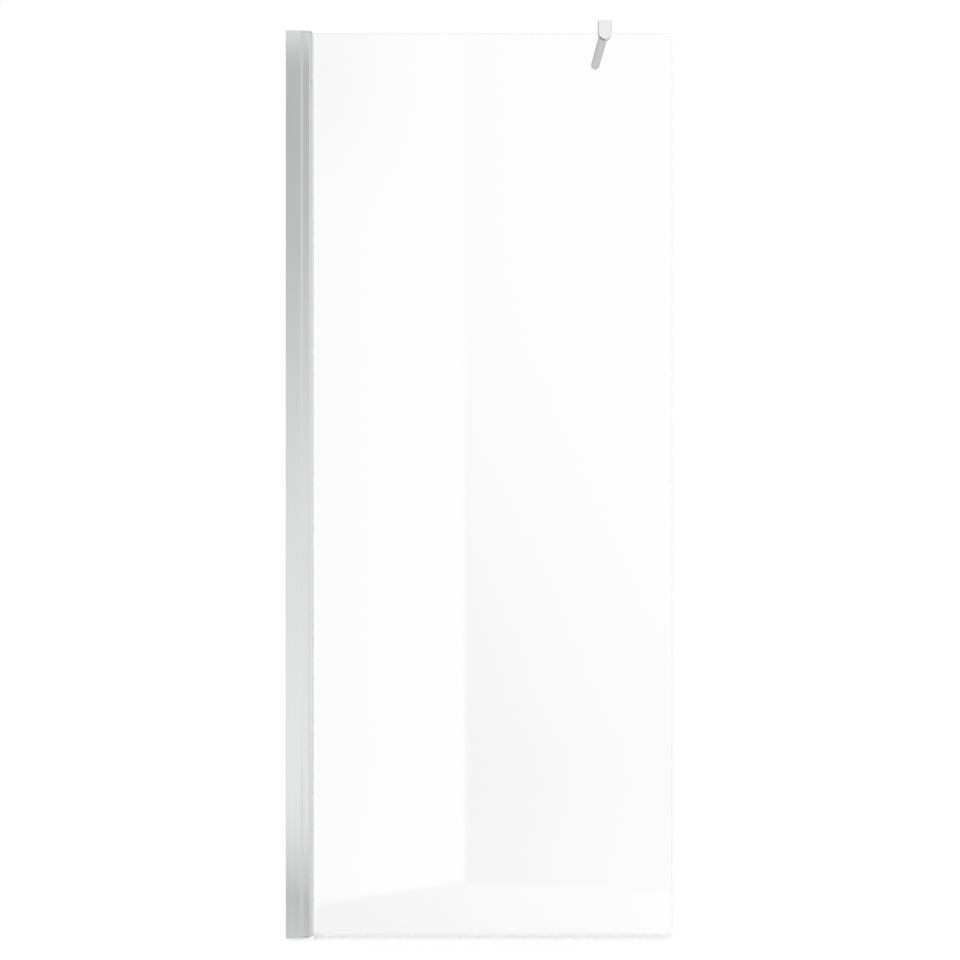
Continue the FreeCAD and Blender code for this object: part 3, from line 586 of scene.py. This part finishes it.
# %% Build trees with named inputs
class GrowingTree(Tree):
    """A Geometry Nodes tree with named inputs, put on an object and then made a plain mesh."""

    def __init__(self, name):
        super().__init__(bpy.data.node_groups.new(name, "GeometryNodeTree"))
        for side in ("INPUT", "OUTPUT"):
            socket = {"in_out": side, "socket_type": "NodeSocketGeometry"}
            self.nodes.interface.new_socket("Geometry", **socket)
        self.entry = self.nodes.nodes.new("NodeGroupInput")

    def named(self, name, kind="Float"):
        """The wire of a new input."""
        if name != "Geometry":
            socket = {"in_out": "INPUT", "socket_type": "NodeSocket" + kind}
            self.nodes.interface.new_socket(name, **socket)
        return Wire(self, self.entry.outputs[name])

    def closed_with(self, geometry):
        """Real geometry with the finish on it is what leaves the tree."""
        real = self.node("GeometryNodeRealizeInstances", None, {"Geometry": geometry})
        finish = self.named("Finish", "Material")
        done = {"Geometry": real, "Material": finish}
        done = self.node("GeometryNodeSetMaterial", None, done)
        self.node("NodeGroupOutput", None, {"Geometry": done})
        print(self.nodes.name, "tree:", len(self.nodes.nodes), "nodes")
        return self

    def grow(self, base, values):
        """The mesh that the tree makes of the base with these values for its inputs."""
        modifier = base.modifiers.new("grow", "NODES")
        modifier.node_group = self.nodes
        left = dict(values)
        for item in self.nodes.interface.items_tree:
            if item.in_out == "INPUT" and item.name in left:
                modifier[item.identifier] = left.pop(item.name)
        if left:
            raise ValueError(f"{self.nodes.name} has no input named {sorted(left)}")
        return evaluated(base)


# %% Drill a row and sweep a section
def softened(tree, curve, radius, count):
    """The curve with its corners rounded."""
    soft = {"Curve": curve, "Radius": radius, "Count": count, "Limit Radius": True}
    return tree.node("GeometryNodeFilletCurve", {"mode": "POLY"}, soft)


def swept_solid(tree, outline, start, end):
    """The outline swept along Z, with closed ends."""
    low = tree.node("ShaderNodeCombineXYZ", None, {"Z": start})
    high = tree.node("ShaderNodeCombineXYZ", None, {"Z": end})
    path = tree.node("GeometryNodeCurvePrimitiveLine", None, {"Start": low, "End": high})
    sweep = {"Curve": path, "Profile Curve": outline, "Fill Caps": True}
    return tree.node("GeometryNodeCurveToMesh", None, sweep)


def drilled_row(tree, solid, title, axis):
    """Cuts a row of holes or slots, whose inputs start with the title, along +X or +Y."""
    count = tree.named(f"{title} count", "Int")
    first = tree.named(f"{title} first", "Vector")
    step = tree.named(f"{title} step", "Vector")
    radius = tree.named(f"{title} radius")
    half = tree.named(f"{title} half length")
    depth = tree.named(f"{title} depth")
    sides = {"Width": (half + radius) * 2, "Height": radius * 2}
    shape = tree.node("GeometryNodeCurvePrimitiveQuadrilateral", None, sides)
    rod = swept_solid(tree, softened(tree, shape, radius * 0.999, 10), 0.0, depth)
    row = {"Count": count, "Start Location": first, "Offset": step}
    row = tree.node("GeometryNodeMeshLine", None, row)
    turn = {"+X": (0, math.radians(90), 0), "+Y": (math.radians(-90), 0, 0)}[axis]
    rods = {"Points": row, "Instance": rod, "Rotation": turn}
    rods = tree.node("GeometryNodeInstanceOnPoints", None, rods)
    rods = tree.node("GeometryNodeRealizeInstances", None, {"Geometry": rods})
    cut = {"operation": "DIFFERENCE", "solver": "EXACT"}
    return tree.node("GeometryNodeMeshBoolean", cut, {"Mesh 1": solid, "Mesh 2": rods})


def section_tree(name, rows=()):
    """Rounds the outline's corners, sweeps it along Z and drills the rows."""
    tree = GrowingTree(name)
    outline = tree.node("GeometryNodeMeshToCurve", None, {"Mesh": tree.named("Geometry")})
    kind, source = {"data_type": "FLOAT"}, {"Name": "rounding"}
    rounding = tree.node("GeometryNodeInputNamedAttribute", kind, source)
    steps = tree.named("Corner steps", "Int")
    start, length = tree.named("Start"), tree.named("Length")
    solid = swept_solid(tree, softened(tree, outline, rounding, steps), start, start + length)
    weld = {"Geometry": solid, "Distance": WELD}
    solid = tree.node("GeometryNodeMergeByDistance", None, weld)
    for title, axis in rows:
        solid = drilled_row(tree, solid, title, axis)
    return tree.closed_with(solid)


def swept(steps, start, length, finish):
    """Values for a sweep, from sizes in mm."""
    return {
        "Corner steps": steps, "Start": start * MM, "Length": length * MM, "Finish": finish,
    }


def drilled(title, count, first, step, radius, half, depth):
    """Values for one drilled row, from sizes in mm."""
    return {
        f"{title} count": count,
        f"{title} first": tuple(v * MM for v in first),
        f"{title} step": tuple(v * MM for v in step),
        f"{title} radius": radius * MM,
        f"{title} half length": half * MM,
        f"{title} depth": depth * MM,
    }


print("a drilled row takes", ", ".join(drilled("its", 1, (0, 0, 0), (0, 0, 0), 1, 0, 1)))


# %% Draw outlines
def outline_object(name, corners):
    """A closed outline in the XY plane from (x, y, rounding) corners in mm, anticlockwise."""
    pairs = list(zip(corners, corners[1:] + corners[:1]))
    if sum(a[0] * b[1] - b[0] * a[1] for a, b in pairs) < 0:
        corners = corners[::-1]
    count = len(corners)
    mesh = bpy.data.meshes.new(name)
    edges = [(i, (i + 1) % count) for i in range(count)]
    mesh.from_pydata([(a * MM, b * MM, 0) for a, b, _ in corners], edges, [])
    rounding = mesh.attributes.new("rounding", "FLOAT", "POINT")
    for item, corner in zip(rounding.data, corners):
        item.value = corner[2] * MM
    return placed(name, mesh)


def both_halves(upper):
    """The upper half of an outline and its mirror image below."""
    return list(upper) + [(a, -b, rounding) for a, b, rounding in reversed(upper)]


def arc(middle, radius, start, end, steps):
    """Sharp corners on an arc between two angles in degrees."""
    a, b = middle
    turns = [math.radians(start + (end - start) * i / steps) for i in range(steps + 1)]
    return [(a + radius * math.cos(t), b + radius * math.sin(t), 0.0) for t in turns]


print("an arc of 4 steps has", len(arc((0, 0), 1, 0, 90, 4)), "corners")

# %% [markdown]
# ## The wall channel
# The outer section is an open U that is screwed to the wall. Its lips are bevelled, which the
# picture shows as one bright upright line, and two C-shaped ports on its web take the pegs of the
# end caps. It could stay as the frame has it. It is drawn again because the die leaves soft
# corners of up to half a millimetre that catch light.

# %% Draw the channel's outline
CHANNEL_HALF, CHANNEL_REACH = 14.0, 26.0
PORT_X, PORT_Y, PORT_OUTSIDE, PORT_INSIDE, PORT_MOUTH = 4.0, 6.8, 2.6, 1.35, 0.6


def port():
    """One screw port on the web, from its upper foot round to its lower foot."""
    centre = (PORT_X, PORT_Y)
    foot = math.degrees(math.atan2(1.661, -2.0))
    outside = math.degrees(math.asin(PORT_MOUTH / PORT_OUTSIDE))
    inside = math.degrees(math.asin(PORT_MOUTH / PORT_INSIDE))
    return (
        arc(centre, PORT_OUTSIDE, foot, outside, 14)
        + arc(centre, PORT_INSIDE, inside, 360 - inside, 22)
        + arc(centre, PORT_OUTSIDE, -outside, -foot, 14)
    )


channel_upper = [
    (0, CHANNEL_HALF, 0.4), (23, CHANNEL_HALF, 0.35), (CHANNEL_REACH, 12.3, 0.1),
    (CHANNEL_REACH, 12, 0.1), (2, 12, 0.5),
]
channel_upper += port()
print("channel:", 2 * len(channel_upper), "corners before rounding")

# %% Press the wall channel
LOCK_X, LOCK_LOW, LOCK_SPACING, LOCK_COUNT = 15.8, 148.0, 550.0, 3
LOCK_STEP = (0, 0, LOCK_SPACING)
MIDDLE = 698.0
WALL_HOLE, LOCK_HOLE, DRILL_DEPTH = 2.75, 2.05, 4

wall_holes = {}
for title, spacing in (("Outer wall holes", 1200.0), ("Inner wall holes", 400.0)):
    lowest = (-1, 0, MIDDLE - spacing / 2)
    wall_holes |= drilled(title, 2, lowest, (0, 0, spacing), WALL_HOLE, 0, DRILL_DEPTH)
channel_rows = (("Outer wall holes", "+X"), ("Inner wall holes", "+X"), ("Lock holes", "+Y"))
channel_tree = section_tree("wall channel section", channel_rows)
lowest = (LOCK_X, 11, LOCK_LOW)
channel = channel_tree.grow(
    outline_object("channel_outline", both_halves(channel_upper)),
    {
        **swept(steps=4, start=2.0, length=1392.0, finish=aluminium),
        **wall_holes,
        **drilled("Lock holes", LOCK_COUNT, lowest, LOCK_STEP, LOCK_HOLE, 0, DRILL_DEPTH),
    },
)
finished("wall_channel_section", channel, "wall_channel", aluminium, ["wall_profile"])

# %% [markdown]
# ## The glass section
# The inner section slides in the channel and turns back into a pocket for the glass. Its two front
# corners have a large radius, 5 mm outside and 3.4 mm inside, so that the wall keeps its thickness
# round the bend. The same kind of tree makes it. Only the outline and the row of slots for the
# lock screws are new.

# %% Press the glass section
SECTION_HALF, SECTION_FRONT = 11.7, 40.7
SECTION_START, SECTION_LENGTH = 2.5, 1391.0
SLOT_RADIUS, SLOT_REACH = 2.3, 5.0

nose_upper = [
    (26, 5.2, 0.2), (SECTION_FRONT, 5.2, 0.3), (SECTION_FRONT, SECTION_HALF, 5.0),
    (7.5, SECTION_HALF, 0.3), (7.5, 10.1, 0.3), (39.1, 10.1, 3.4), (39.1, 6.6, 0.2),
    (24.5, 6.6, 0.2),
]
nose_tree = section_tree("glass section", (("Slots", "+Y"),))
lowest = (LOCK_X, 9, LOCK_LOW)
nose = nose_tree.grow(
    outline_object("nose_outline", both_halves(nose_upper)),
    {
        **swept(14, SECTION_START, SECTION_LENGTH, aluminium),
        **drilled("Slots", LOCK_COUNT, lowest, LOCK_STEP, SLOT_RADIUS, SLOT_REACH, DRILL_DEPTH),
    },
)
finished("glass_pocket_section", nose, "glass_carrier", aluminium, ["glass_profile"])

# %% [markdown]
# ## Gaskets and bottom seal
# Two vinyl gaskets hold the glass in its pocket, each with a bead over the section's lip. The
# bottom seal clips on the glass with two legs and brushes the rim with two thin fins. All three
# are pressed sections too, so they come from the same kind of tree. The seal is swept upright and
# then laid along X.

# %% Press the gaskets
vinyl_tree = section_tree("vinyl section")
gasket = [
    (29.7, 3.02, 0.3), (41.9, 3.02, 0.15), (41.9, 5.4, 0.4), (41.3, 6.0, 0.35),
    (40.72, 6.0, 0.1), (40.72, 5.18, 0.0), (29.7, 5.18, 0.3),
]
gasket_values = swept(4, SECTION_START, SECTION_LENGTH, vinyl_upright)
for name, node, side in (
    ("front_gasket", "glazing_seal_front", -1),
    ("back_gasket", "glazing_seal_back", 1),
):
    corners = [(a, side * b, rounding) for a, b, rounding in gasket]
    mesh = vinyl_tree.grow(outline_object(name + "_outline", corners), gasket_values)
    finished(name, mesh, "glass_carrier", vinyl_upright, [node])

# %% Press the bottom seal
SEAL_START, SEAL_LENGTH = 42.4, 552.1

seal_right = [
    (3.05, 2.45, 0.1), (3.05, 6.4, 0.35), (4.05, 6.4, 0.45), (4.05, 1.25, 0.3), (2.5, 1.25, 0.4),
    (2.95, -1.2, 2.0), (4.1, -4.0, 0.3), (3.2, -4.0, 0.3), (2.1, -1.3, 2.0), (1.6, 1.25, 0.3),
]
seal_corners = seal_right + [(-a, b, rounding) for a, b, rounding in reversed(seal_right)]
seal = outline_object("seal_outline", seal_corners)
seal = vinyl_tree.grow(seal, swept(4, SEAL_START, SEAL_LENGTH, vinyl_level))
lay_along_x = Matrix(((0, 0, 1, 0), (1, 0, 0, 0), (0, 1, 0, 0), (0, 0, 0, 1)))
seal.transform(lay_along_x)
finished("rim_seal", seal, "glass_carrier", vinyl_level, ["bottom_seal"])

# %% [markdown]
# ## Turned pieces
# Screws, caps, the bar and the boss are all round, so each is one outline turned about its axis.
# The outline's corners are eased first, because no turned piece has a knife edge. A thread is a
# small change of radius that climbs one pitch in each turn, so the same function makes it by
# letting the radius depend on the angle.


# %% Ease an outline
def eased(corners, closed, steps=4):
    """The corners (a, b, rounding) with each one rounded, as (a, b) points."""
    points = []
    for i, (a, b, rounding) in enumerate(corners):
        here = Vector((a, b))
        if rounding == 0 or (not closed and i in (0, len(corners) - 1)):
            points.append((a, b))
            continue
        before = Vector(corners[i - 1][:2]) - here
        after = Vector(corners[(i + 1) % len(corners)][:2]) - here
        half = before.angle(after) / 2
        reach = min(rounding / math.tan(half), 0.49 * before.length, 0.49 * after.length)
        radius = reach * math.tan(half)
        before.normalize()
        after.normalize()
        centre = here + (before + after).normalized() * radius / math.sin(half)
        first, last = here + before * reach - centre, here + after * reach - centre
        points += [tuple(centre + first.slerp(last, k / steps) * radius) for k in range(steps + 1)]
    return points


triangle = eased([(0, 0, 1), (4, 0, 0), (0, 4, 0)], closed=True)
print("a triangle with one rounded corner has", len(triangle), "points")


# %% Turn an outline
THREAD_DEPTH = 0.4
HAIR = 1e-6


def turned(points, sides=64, closed=True, thread=None):
    """A mesh of (along, radius) points in mm turned about +Y.

    thread is (start, end, radius, pitch). It is cut to THREAD_DEPTH of its pitch.
    """
    verts, rings = [], []
    for along, radius in points:
        if radius < HAIR:
            rings.append([len(verts)] * sides)
            verts.append((0, along * MM, 0))
            continue
        rings.append(list(range(len(verts), len(verts) + sides)))
        cut = thread and thread[0] <= along <= thread[1] and abs(radius - thread[2]) < HAIR
        for k in range(sides):
            turn, r = 2 * math.pi * k / sides, radius
            if cut:
                phase = (along / thread[3] - k / sides) % 1
                r -= THREAD_DEPTH * thread[3] * abs(2 * phase - 1)
            verts.append((r * math.sin(turn) * MM, along * MM, r * math.cos(turn) * MM))
    faces = []
    pairs = list(zip(rings, rings[1:])) + ([(rings[-1], rings[0])] if closed else [])
    for low, high in pairs:
        for k in range(sides):
            corners = [low[k], low[(k + 1) % sides], high[(k + 1) % sides], high[k]]
            corners = list(dict.fromkeys(corners))
            if len(corners) > 2:
                faces.append(corners)
    return plain_mesh("turned", verts, faces)


def lathed(corners, sides, closed=True):
    """A mesh of eased (along, radius, rounding) corners in mm turned about +Y."""
    return turned(eased(corners, closed), sides, closed)


def rod(start, end, radius, sides):
    """A plain rod along Y, to cut a hole with."""
    points = [(start, 0), (start, radius), (end, radius), (end, 0)]
    return turned(points, sides, closed=False)


def threaded_stretch(start, end, radius, pitch):
    """Close points along a thread, so that its ridge shows."""
    count = max(2, round((end - start) / pitch * 6))
    return [(start + (end - start) * i / count, radius) for i in range(count + 1)]


print("10 mm of a 0.7 mm thread has", len(threaded_stretch(0, 10, 2, 0.7)), "rings")


# %% Cut one solid with another
def stacked(layers):
    """A solid through (y, outline) layers, with (x, z) outlines in mm of equally many points."""
    verts = [(a * MM, y * MM, b * MM) for y, outline in layers for a, b in outline]
    count = len(layers[0][1])
    faces = [list(range(count)), list(range(len(verts) - 1, len(verts) - count - 1, -1))]
    for layer in range(len(layers) - 1):
        low, high = layer * count, (layer + 1) * count
        for i in range(count):
            j = (i + 1) % count
            faces.append([low + i, high + i, high + j, low + j])
    return plain_mesh("stacked", verts, faces)


def prism(points, low, high):
    """A solid with that outline from y = low to y = high."""
    return stacked([(low, points), (high, points)])


def polygon(count, radius):
    """Corners (x, z) of a regular polygon."""
    turns = [2 * math.pi * i / count for i in range(count)]
    return [(radius * math.cos(t), radius * math.sin(t)) for t in turns]


def carved(mesh, others, operation="DIFFERENCE"):
    """The mesh less the others, or joined with them."""
    for solid in (mesh, *others):
        made_upright(solid)
    base = placed("carving", mesh)
    tools = [placed("tool", other) for other in others]
    for tool in tools:
        modifier = base.modifiers.new("carve", "BOOLEAN")
        modifier.operation, modifier.solver, modifier.object = operation, "EXACT", tool
    made = evaluated(base)
    for tool in tools:
        bpy.data.objects.remove(tool)
    return made


print("a hexagon socket has", len(polygon(6, 1)), "sides")

# %% [markdown]
# ## The row of lock screws
# Three M4 screws through the channel's wall lock the glass section, each with a nut inside, a base
# washer under its head and a snap cap over it. One of each is made with care, and a Geometry Nodes
# tree repeats it at the right heights. No fitter leaves every recess at the same angle, so the
# tree turns each copy by a seeded amount.

# %% Build the row tree
row_tree = GrowingTree("row of fittings")
row_count = row_tree.named("Count", "Int")
row_first = row_tree.named("First", "Vector")
row_step = row_tree.named("Spacing", "Vector")
row_turn = row_tree.named("Largest turn")
row_seed = row_tree.named("Seed", "Int")
row_points = {"Count": row_count, "Start Location": row_first, "Offset": row_step}
row_points = row_tree.node("GeometryNodeMeshLine", None, row_points)
turn_range = {2: 0.0, 3: row_turn, "Seed": row_seed}
any_turn = row_tree.node("FunctionNodeRandomValue", {"data_type": "FLOAT"}, turn_range, out=1)
row_rotation = row_tree.node("ShaderNodeCombineXYZ", None, {"Y": any_turn})
fitting = row_tree.named("Geometry")
copies = {"Points": row_points, "Instance": fitting, "Rotation": row_rotation}
row_tree.closed_with(row_tree.node("GeometryNodeInstanceOnPoints", None, copies))


def fitting_row(name, mesh, finish, node, turn=0.0, crease=30):
    """Three of the fitting, at the lock screws' heights."""
    values = {
        "Count": LOCK_COUNT,
        "First": (LOCK_X * MM, 0.0, LOCK_LOW * MM),
        "Spacing": (0.0, 0.0, LOCK_SPACING * MM),
        "Largest turn": turn,
        "Seed": 7,
        "Finish": finish,
    }
    row = row_tree.grow(placed(name + "_one", mesh), values)
    finished(name, row, "wall_channel", finish, [node], crease)


# %% Make the lock screws
M4 = (2.0, 0.7)

thread = (7.3, 14.6, *M4)
head = [
    (14.7, 2.0, 0), (14.8, 2.0, 0.1), (14.8, 3.5, 0.25), (16.6, 3.5, 0.9), (17.2, 2.4, 0.5),
    (17.2, 0, 0),
]
outline = [(7.0, 0), (7.0, 1.6)] + threaded_stretch(*thread) + eased(head, closed=False)
screw = turned(outline, 48, closed=False, thread=thread)
arm, blade = 1.7, 0.42
cross = [(arm, blade), (blade, blade), (blade, arm)]
cross += [(-b, a) for a, b in cross] + [(-a, -b) for a, b in cross] + [(b, -a) for a, b in cross]
screw = carved(screw, [prism(cross, 16.0, 18.0)])
fitting_row("lock_screw_row", screw, steel, "lock_screws", turn=1.5)

# %% Make nuts, base washers and snap caps
square = [(-3.5, -3.5, 0.6), (3.5, -3.5, 0.6), (3.5, 3.5, 0.6), (-3.5, 3.5, 0.6)]
nut = prism(eased(square, closed=True), 7.6, 9.8)
nut = carved(nut, [prism(polygon(32, 2.05), 7, 10.5)])
fitting_row("lock_nut_row", nut, steel, "lock_nuts")

washer = [(14, 2.05, 0.1), (14, 4.3, 0.1), (14.8, 4.3, 0.25), (14.8, 2.05, 0.1)]
washer = lathed(washer, 64)
fitting_row("base_washer_row", washer, grey_plastic, "cap_washers")

cap_outside = [
    (14, 4.35, 0.1), (14, 5.2, 0.2), (17.0, 5.2, 0.9), (17.9, 4.1, 1.5), (18.2, 2.2, 3.0),
    (18.2, 0, 0), (17.4, 0, 0),
]
cap_inside = [(17.4, 0, 0), (17.4, 4.35, 0.4), (14, 4.35, 0.1)]
cap = eased(cap_outside, closed=False, steps=5) + eased(cap_inside, closed=False)[1:-1]
cap = turned(cap, 64)
fitting_row("snap_cap_row", cap, grey_plastic, "screw_caps", crease=40)

# %% [markdown]
# ## The end caps
# A thin moulded plate closes each end of the two sections, with a peg in each screw port. In the
# picture they are the fine dark lines at the top and the foot of the aluminium. A plate with a
# softened rim could be a scaled cube, but its step, where the narrower glass section begins, needs
# the true outline.

# %% Mould the end caps
PLATE, PLATE_BEVEL = 2.0, 0.3
PEG_RADIUS = 1.3


def end_cap(name, node, low, reach, root, tip):
    """A plate from that height up, and its two pegs from root to tip."""
    half = [
        (0, CHANNEL_HALF, 0.2), (CHANNEL_REACH, CHANNEL_HALF, 0.9),
        (CHANNEL_REACH, SECTION_HALF, 0.4), (reach, SECTION_HALF, 1.2),
    ]
    work = bmesh.new()
    corners = eased(both_halves(half), closed=True)
    base = work.faces.new([work.verts.new((a * MM, b * MM, low * MM)) for a, b in corners])
    grown = bmesh.ops.extrude_face_region(work, geom=[base])["geom"]
    lifted = [v for v in grown if isinstance(v, bmesh.types.BMVert)]
    bmesh.ops.translate(work, verts=lifted, vec=(0, 0, PLATE * MM))
    bmesh.ops.recalc_face_normals(work, faces=work.faces)
    rims = [e for e in work.edges if abs(e.verts[0].co.z - e.verts[1].co.z) < 1e-9]
    soft = {"offset": PLATE_BEVEL * MM, "segments": 3, "profile": 0.5, "affect": "EDGES"}
    bmesh.ops.bevel(work, geom=rims, clamp_overlap=True, **soft)
    plate = bpy.data.meshes.new(name)
    work.to_mesh(plate)
    work.free()
    shape = [(root, 0, 0), (root, PEG_RADIUS, 0), (tip, PEG_RADIUS, 0.5), (tip, 0, 0)]
    stand = Matrix.Rotation(math.radians(90), 4, "X")
    pegs = []
    for side in (-PORT_Y, PORT_Y):
        peg = lathed(shape, 32, closed=False)
        peg.transform(Matrix.Translation((PORT_X * MM, side * MM, 0)) @ stand)
        pegs.append(peg)
    cap = carved(plate, pegs, "UNION")
    finished(name, cap, "wall_channel", grey_plastic, [node], crease=40)


end_cap("upper_end_cap", "top_cap", 1394, 39, root=1394.5, tip=1386)
end_cap("lower_end_cap", "bottom_cap", 0, 35.7, root=1.5, tip=10)

# %% [markdown]
# ## The clamp
# The clamp is a chromed block with a square head and a half-round foot, rounded along its front
# edge. Its outline stays the same shape when it shrinks, so the rounded edge is a stack of
# outlines, each a little smaller and further forward. That gives even faces for the mirror finish,
# which a bevel on a mesh of triangles doesn't.


# %% Stack outlines into a rounded block
def tongue(half, top, middle, corner, inset=0.0):
    """Outline (x, z) with two rounded upper corners and a half-round foot, shrunk by inset."""
    half, top, corner = half - inset, top - inset, max(corner - inset, 0.01)
    foot = arc((0, middle), half, 180, 360, 40)
    right = arc((half - corner, top - corner), corner, 0, 90, 8)
    left = arc((corner - half, top - corner), corner, 90, 180, 8)
    return [(a, b) for a, b, _ in foot + right + left]


def rounded_layers(front, back, front_edge, back_edge, outline_at):
    """Layers from front to back whose first and last ones follow a quarter circle."""
    layers = []
    for i in range(9):
        turn = math.radians(90 * i / 8)
        y, inset = front + front_edge * (1 - math.cos(turn)), front_edge * (1 - math.sin(turn))
        layers.append((y, outline_at(inset)))
    for i in range(5):
        turn = math.radians(90 * i / 4)
        y, inset = back - back_edge * (1 - math.sin(turn)), back_edge * (1 - math.cos(turn))
        layers.append((y, outline_at(inset)))
    return layers


print("the clamp's outline has", len(tongue(10, 15, -4, 2)), "points")

# %% Shape the clamp block and its liner
CLAMP_X, BAR_Z = 491.0, 1398.0
CLAMP_FRONT, CLAMP_BACK, FRONT_EDGE, BACK_EDGE = -9, 10, 1.2, 0.3
CLAMP_HALF, CLAMP_TOP, FOOT_MIDDLE = 10.5, 15, -4.5
SLOT_TOP, SLOT_HALF, LINER_HALF = -3.3, 4.2, 4.18
ROOM_TOP, ROOM_HALF = -4.2, 3.3
STUD_HOLE = 2.55
GRIP_RISE = -11.0


def on_arm(name, mesh, finish, node, rise=0.0, crease=30):
    """Finishes a piece that was made about the bar's axis, moved to its place on the arm."""
    mesh.transform(Matrix.Translation((CLAMP_X * MM, 0, (BAR_Z + rise) * MM)))
    finished(name, mesh, "support_arm", finish, [node], crease)


def room_below(top, half):
    """A block that cuts everything below top, to that distance before and behind."""
    return prism([(-12, -17), (12, -17), (12, top), (-12, top)], -half, half)


def grip_hole(start, end, radius, sides):
    """A hole on the grub screw's axis."""
    hole = rod(start, end, radius, sides)
    hole.transform(Matrix.Translation((0, 0, GRIP_RISE * MM)))
    return hole


def block_outline(inset):
    return tongue(CLAMP_HALF, CLAMP_TOP, FOOT_MIDDLE, 2, inset)


block = stacked(rounded_layers(CLAMP_FRONT, CLAMP_BACK, FRONT_EDGE, BACK_EDGE, block_outline))
slot_cut = room_below(SLOT_TOP, SLOT_HALF)
block = carved(block, [slot_cut, rod(-4, 11, STUD_HOLE, 40), grip_hole(3.5, 11, 2.05, 40)])
on_arm("glass_clamp", block, chrome, "clamp_block", crease=28)

liner = prism(tongue(10, SLOT_TOP, FOOT_MIDDLE, 0.02), -LINER_HALF, LINER_HALF)
liner = carved(liner, [room_below(ROOM_TOP, ROOM_HALF), grip_hole(3.0, 5, 1.9, 32)])
on_arm("soft_clamp_liner", liner, vinyl_upright, "clamp_liner")

# %% [markdown]
# ## The bar, its plugs and the boss
# The bar is a thin chromed tube. A threaded plug in its near end takes the stud from the clamp,
# and a bored plug at the far end slides on the boss at the wall. The tube's ends are open and
# slightly rolled over, so it is one closed outline turned about its axis, with real thickness.


# %% Turn the pad, the screws and the stud
def grub_screw(start, end, radius, pitch):
    """A headless screw with a hexagon socket in its far end."""
    bevel = 0.3
    thread = (start + bevel, end - bevel, radius, pitch)
    outline = [(start, 0), (start, radius - bevel)] + threaded_stretch(*thread)
    outline += [(end, radius - bevel), (end, 0)]
    screw = turned(outline, 36, closed=False, thread=thread)
    socket = radius / 2 / math.cos(math.radians(30))
    return carved(screw, [prism(polygon(6, socket), end - radius, end + 1)])


pad = lathed([(3.3, 0, 0), (3.3, 1.8, 0.3), (4.9, 1.8, 0.3), (4.9, 0, 0)], 32, closed=False)
on_arm("pressure_pad", pad, white_nylon, "clamp_pressure_pad", GRIP_RISE)

grip = grub_screw(4.9, 9.4, *M4)
on_arm("clamp_set_screw", grip, steel, "clamp_grub_screw", GRIP_RISE)

M5 = (2.5, 0.8)
thread = (-2.5, 21.5, *M5)
stud = [(-3, 0), (-3, 2.0)] + threaded_stretch(*thread) + [(22, 2.0), (22, 0)]
on_arm("threaded_stud", turned(stud, 36, closed=False, thread=thread), steel, "bar_stud")

# %% Turn the bar and its plugs
FAR_WALL = 312.0
TUBE_END = FAR_WALL - 3.3
TUBE, BORE, PLUG = 7, 5.8, 5.75

near_plug = [
    (CLAMP_BACK, STUD_HOLE, 0.2), (CLAMP_BACK, PLUG, 0.2), (25, PLUG, 0.3), (25, STUD_HOLE, 0.3),
]
on_arm("near_plug", lathed(near_plug, 64), steel, "bar_insert")

lay_under = Matrix.Rotation(math.radians(-90), 4, "X")
under_the_bar = Matrix.Translation((0, (TUBE_END - 5) * MM, 0)) @ lay_under
screw_hole = rod(0, 12, 1.55, 32)
screw_hole.transform(under_the_bar)
tube = [
    (CLAMP_BACK, BORE, 0.15), (CLAMP_BACK, TUBE, 0.3), (TUBE_END, TUBE, 0.3),
    (TUBE_END, BORE, 0.15),
]
tube = carved(lathed(tube, 96), [screw_hole])
on_arm("support_tube", tube, chrome, "support_bar")

plug_start = TUBE_END - 18
far_plug = [
    (plug_start, 4.0, 0.3), (plug_start, PLUG, 0.3), (TUBE_END, PLUG, 0.2), (TUBE_END, 4.0, 0.2),
]
far_plug = carved(lathed(far_plug, 64), [screw_hole])
on_arm("far_plug", far_plug, steel, "bar_sleeve")

# %% Turn the boss and its screw
M3 = (1.5, 0.5)
small_screw = grub_screw(4.25, 6.7, *M3)
small_screw.transform(under_the_bar)
on_arm("boss_set_screw", small_screw, steel, "boss_grub_screw")

boss = [
    (-19, 3.45, 0), (-19, 3.95, 0.15), (-3, 3.95, 0.2), (-3, TUBE, 0.4), (0, TUBE, 0.1),
    (0, 2.25, 0.1), (-17.8, 2.25, 0),
]
boss = lathed([(a + FAR_WALL, b, rounding) for a, b, rounding in boss], 96)
boss.transform(Matrix.Translation((CLAMP_X * MM, 0, BAR_Z * MM)))
finished("boss", boss, "wall_boss", chrome, ["wall_boss"])

# %% [markdown]
# ## The pieces that stay as they are
# The sheet of glass and the packers behind it are plain shapes that the frame already has right.
# They keep their own meshes and only get their finishes.

# %% Give the kept pieces their finishes
for node, finish, slot in (
    ("glass_panel", glass, "clear_glass"),
    ("glazing_packers", white_nylon, "white_nylon"),
):
    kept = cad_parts[node]
    kept.data.materials.clear()
    kept.data.materials.append(finish)
    print(node, "keeps its shape and is now", finish.name)

# %% Print the size of the frame and of what is shown
SHOWN_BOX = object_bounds()
for name, box in (("frame", CAD_BOX), ("shown", SHOWN_BOX)):
    print(name, "box in mm:", [[round(v / MM, 2) for v in corner] for corner in box])
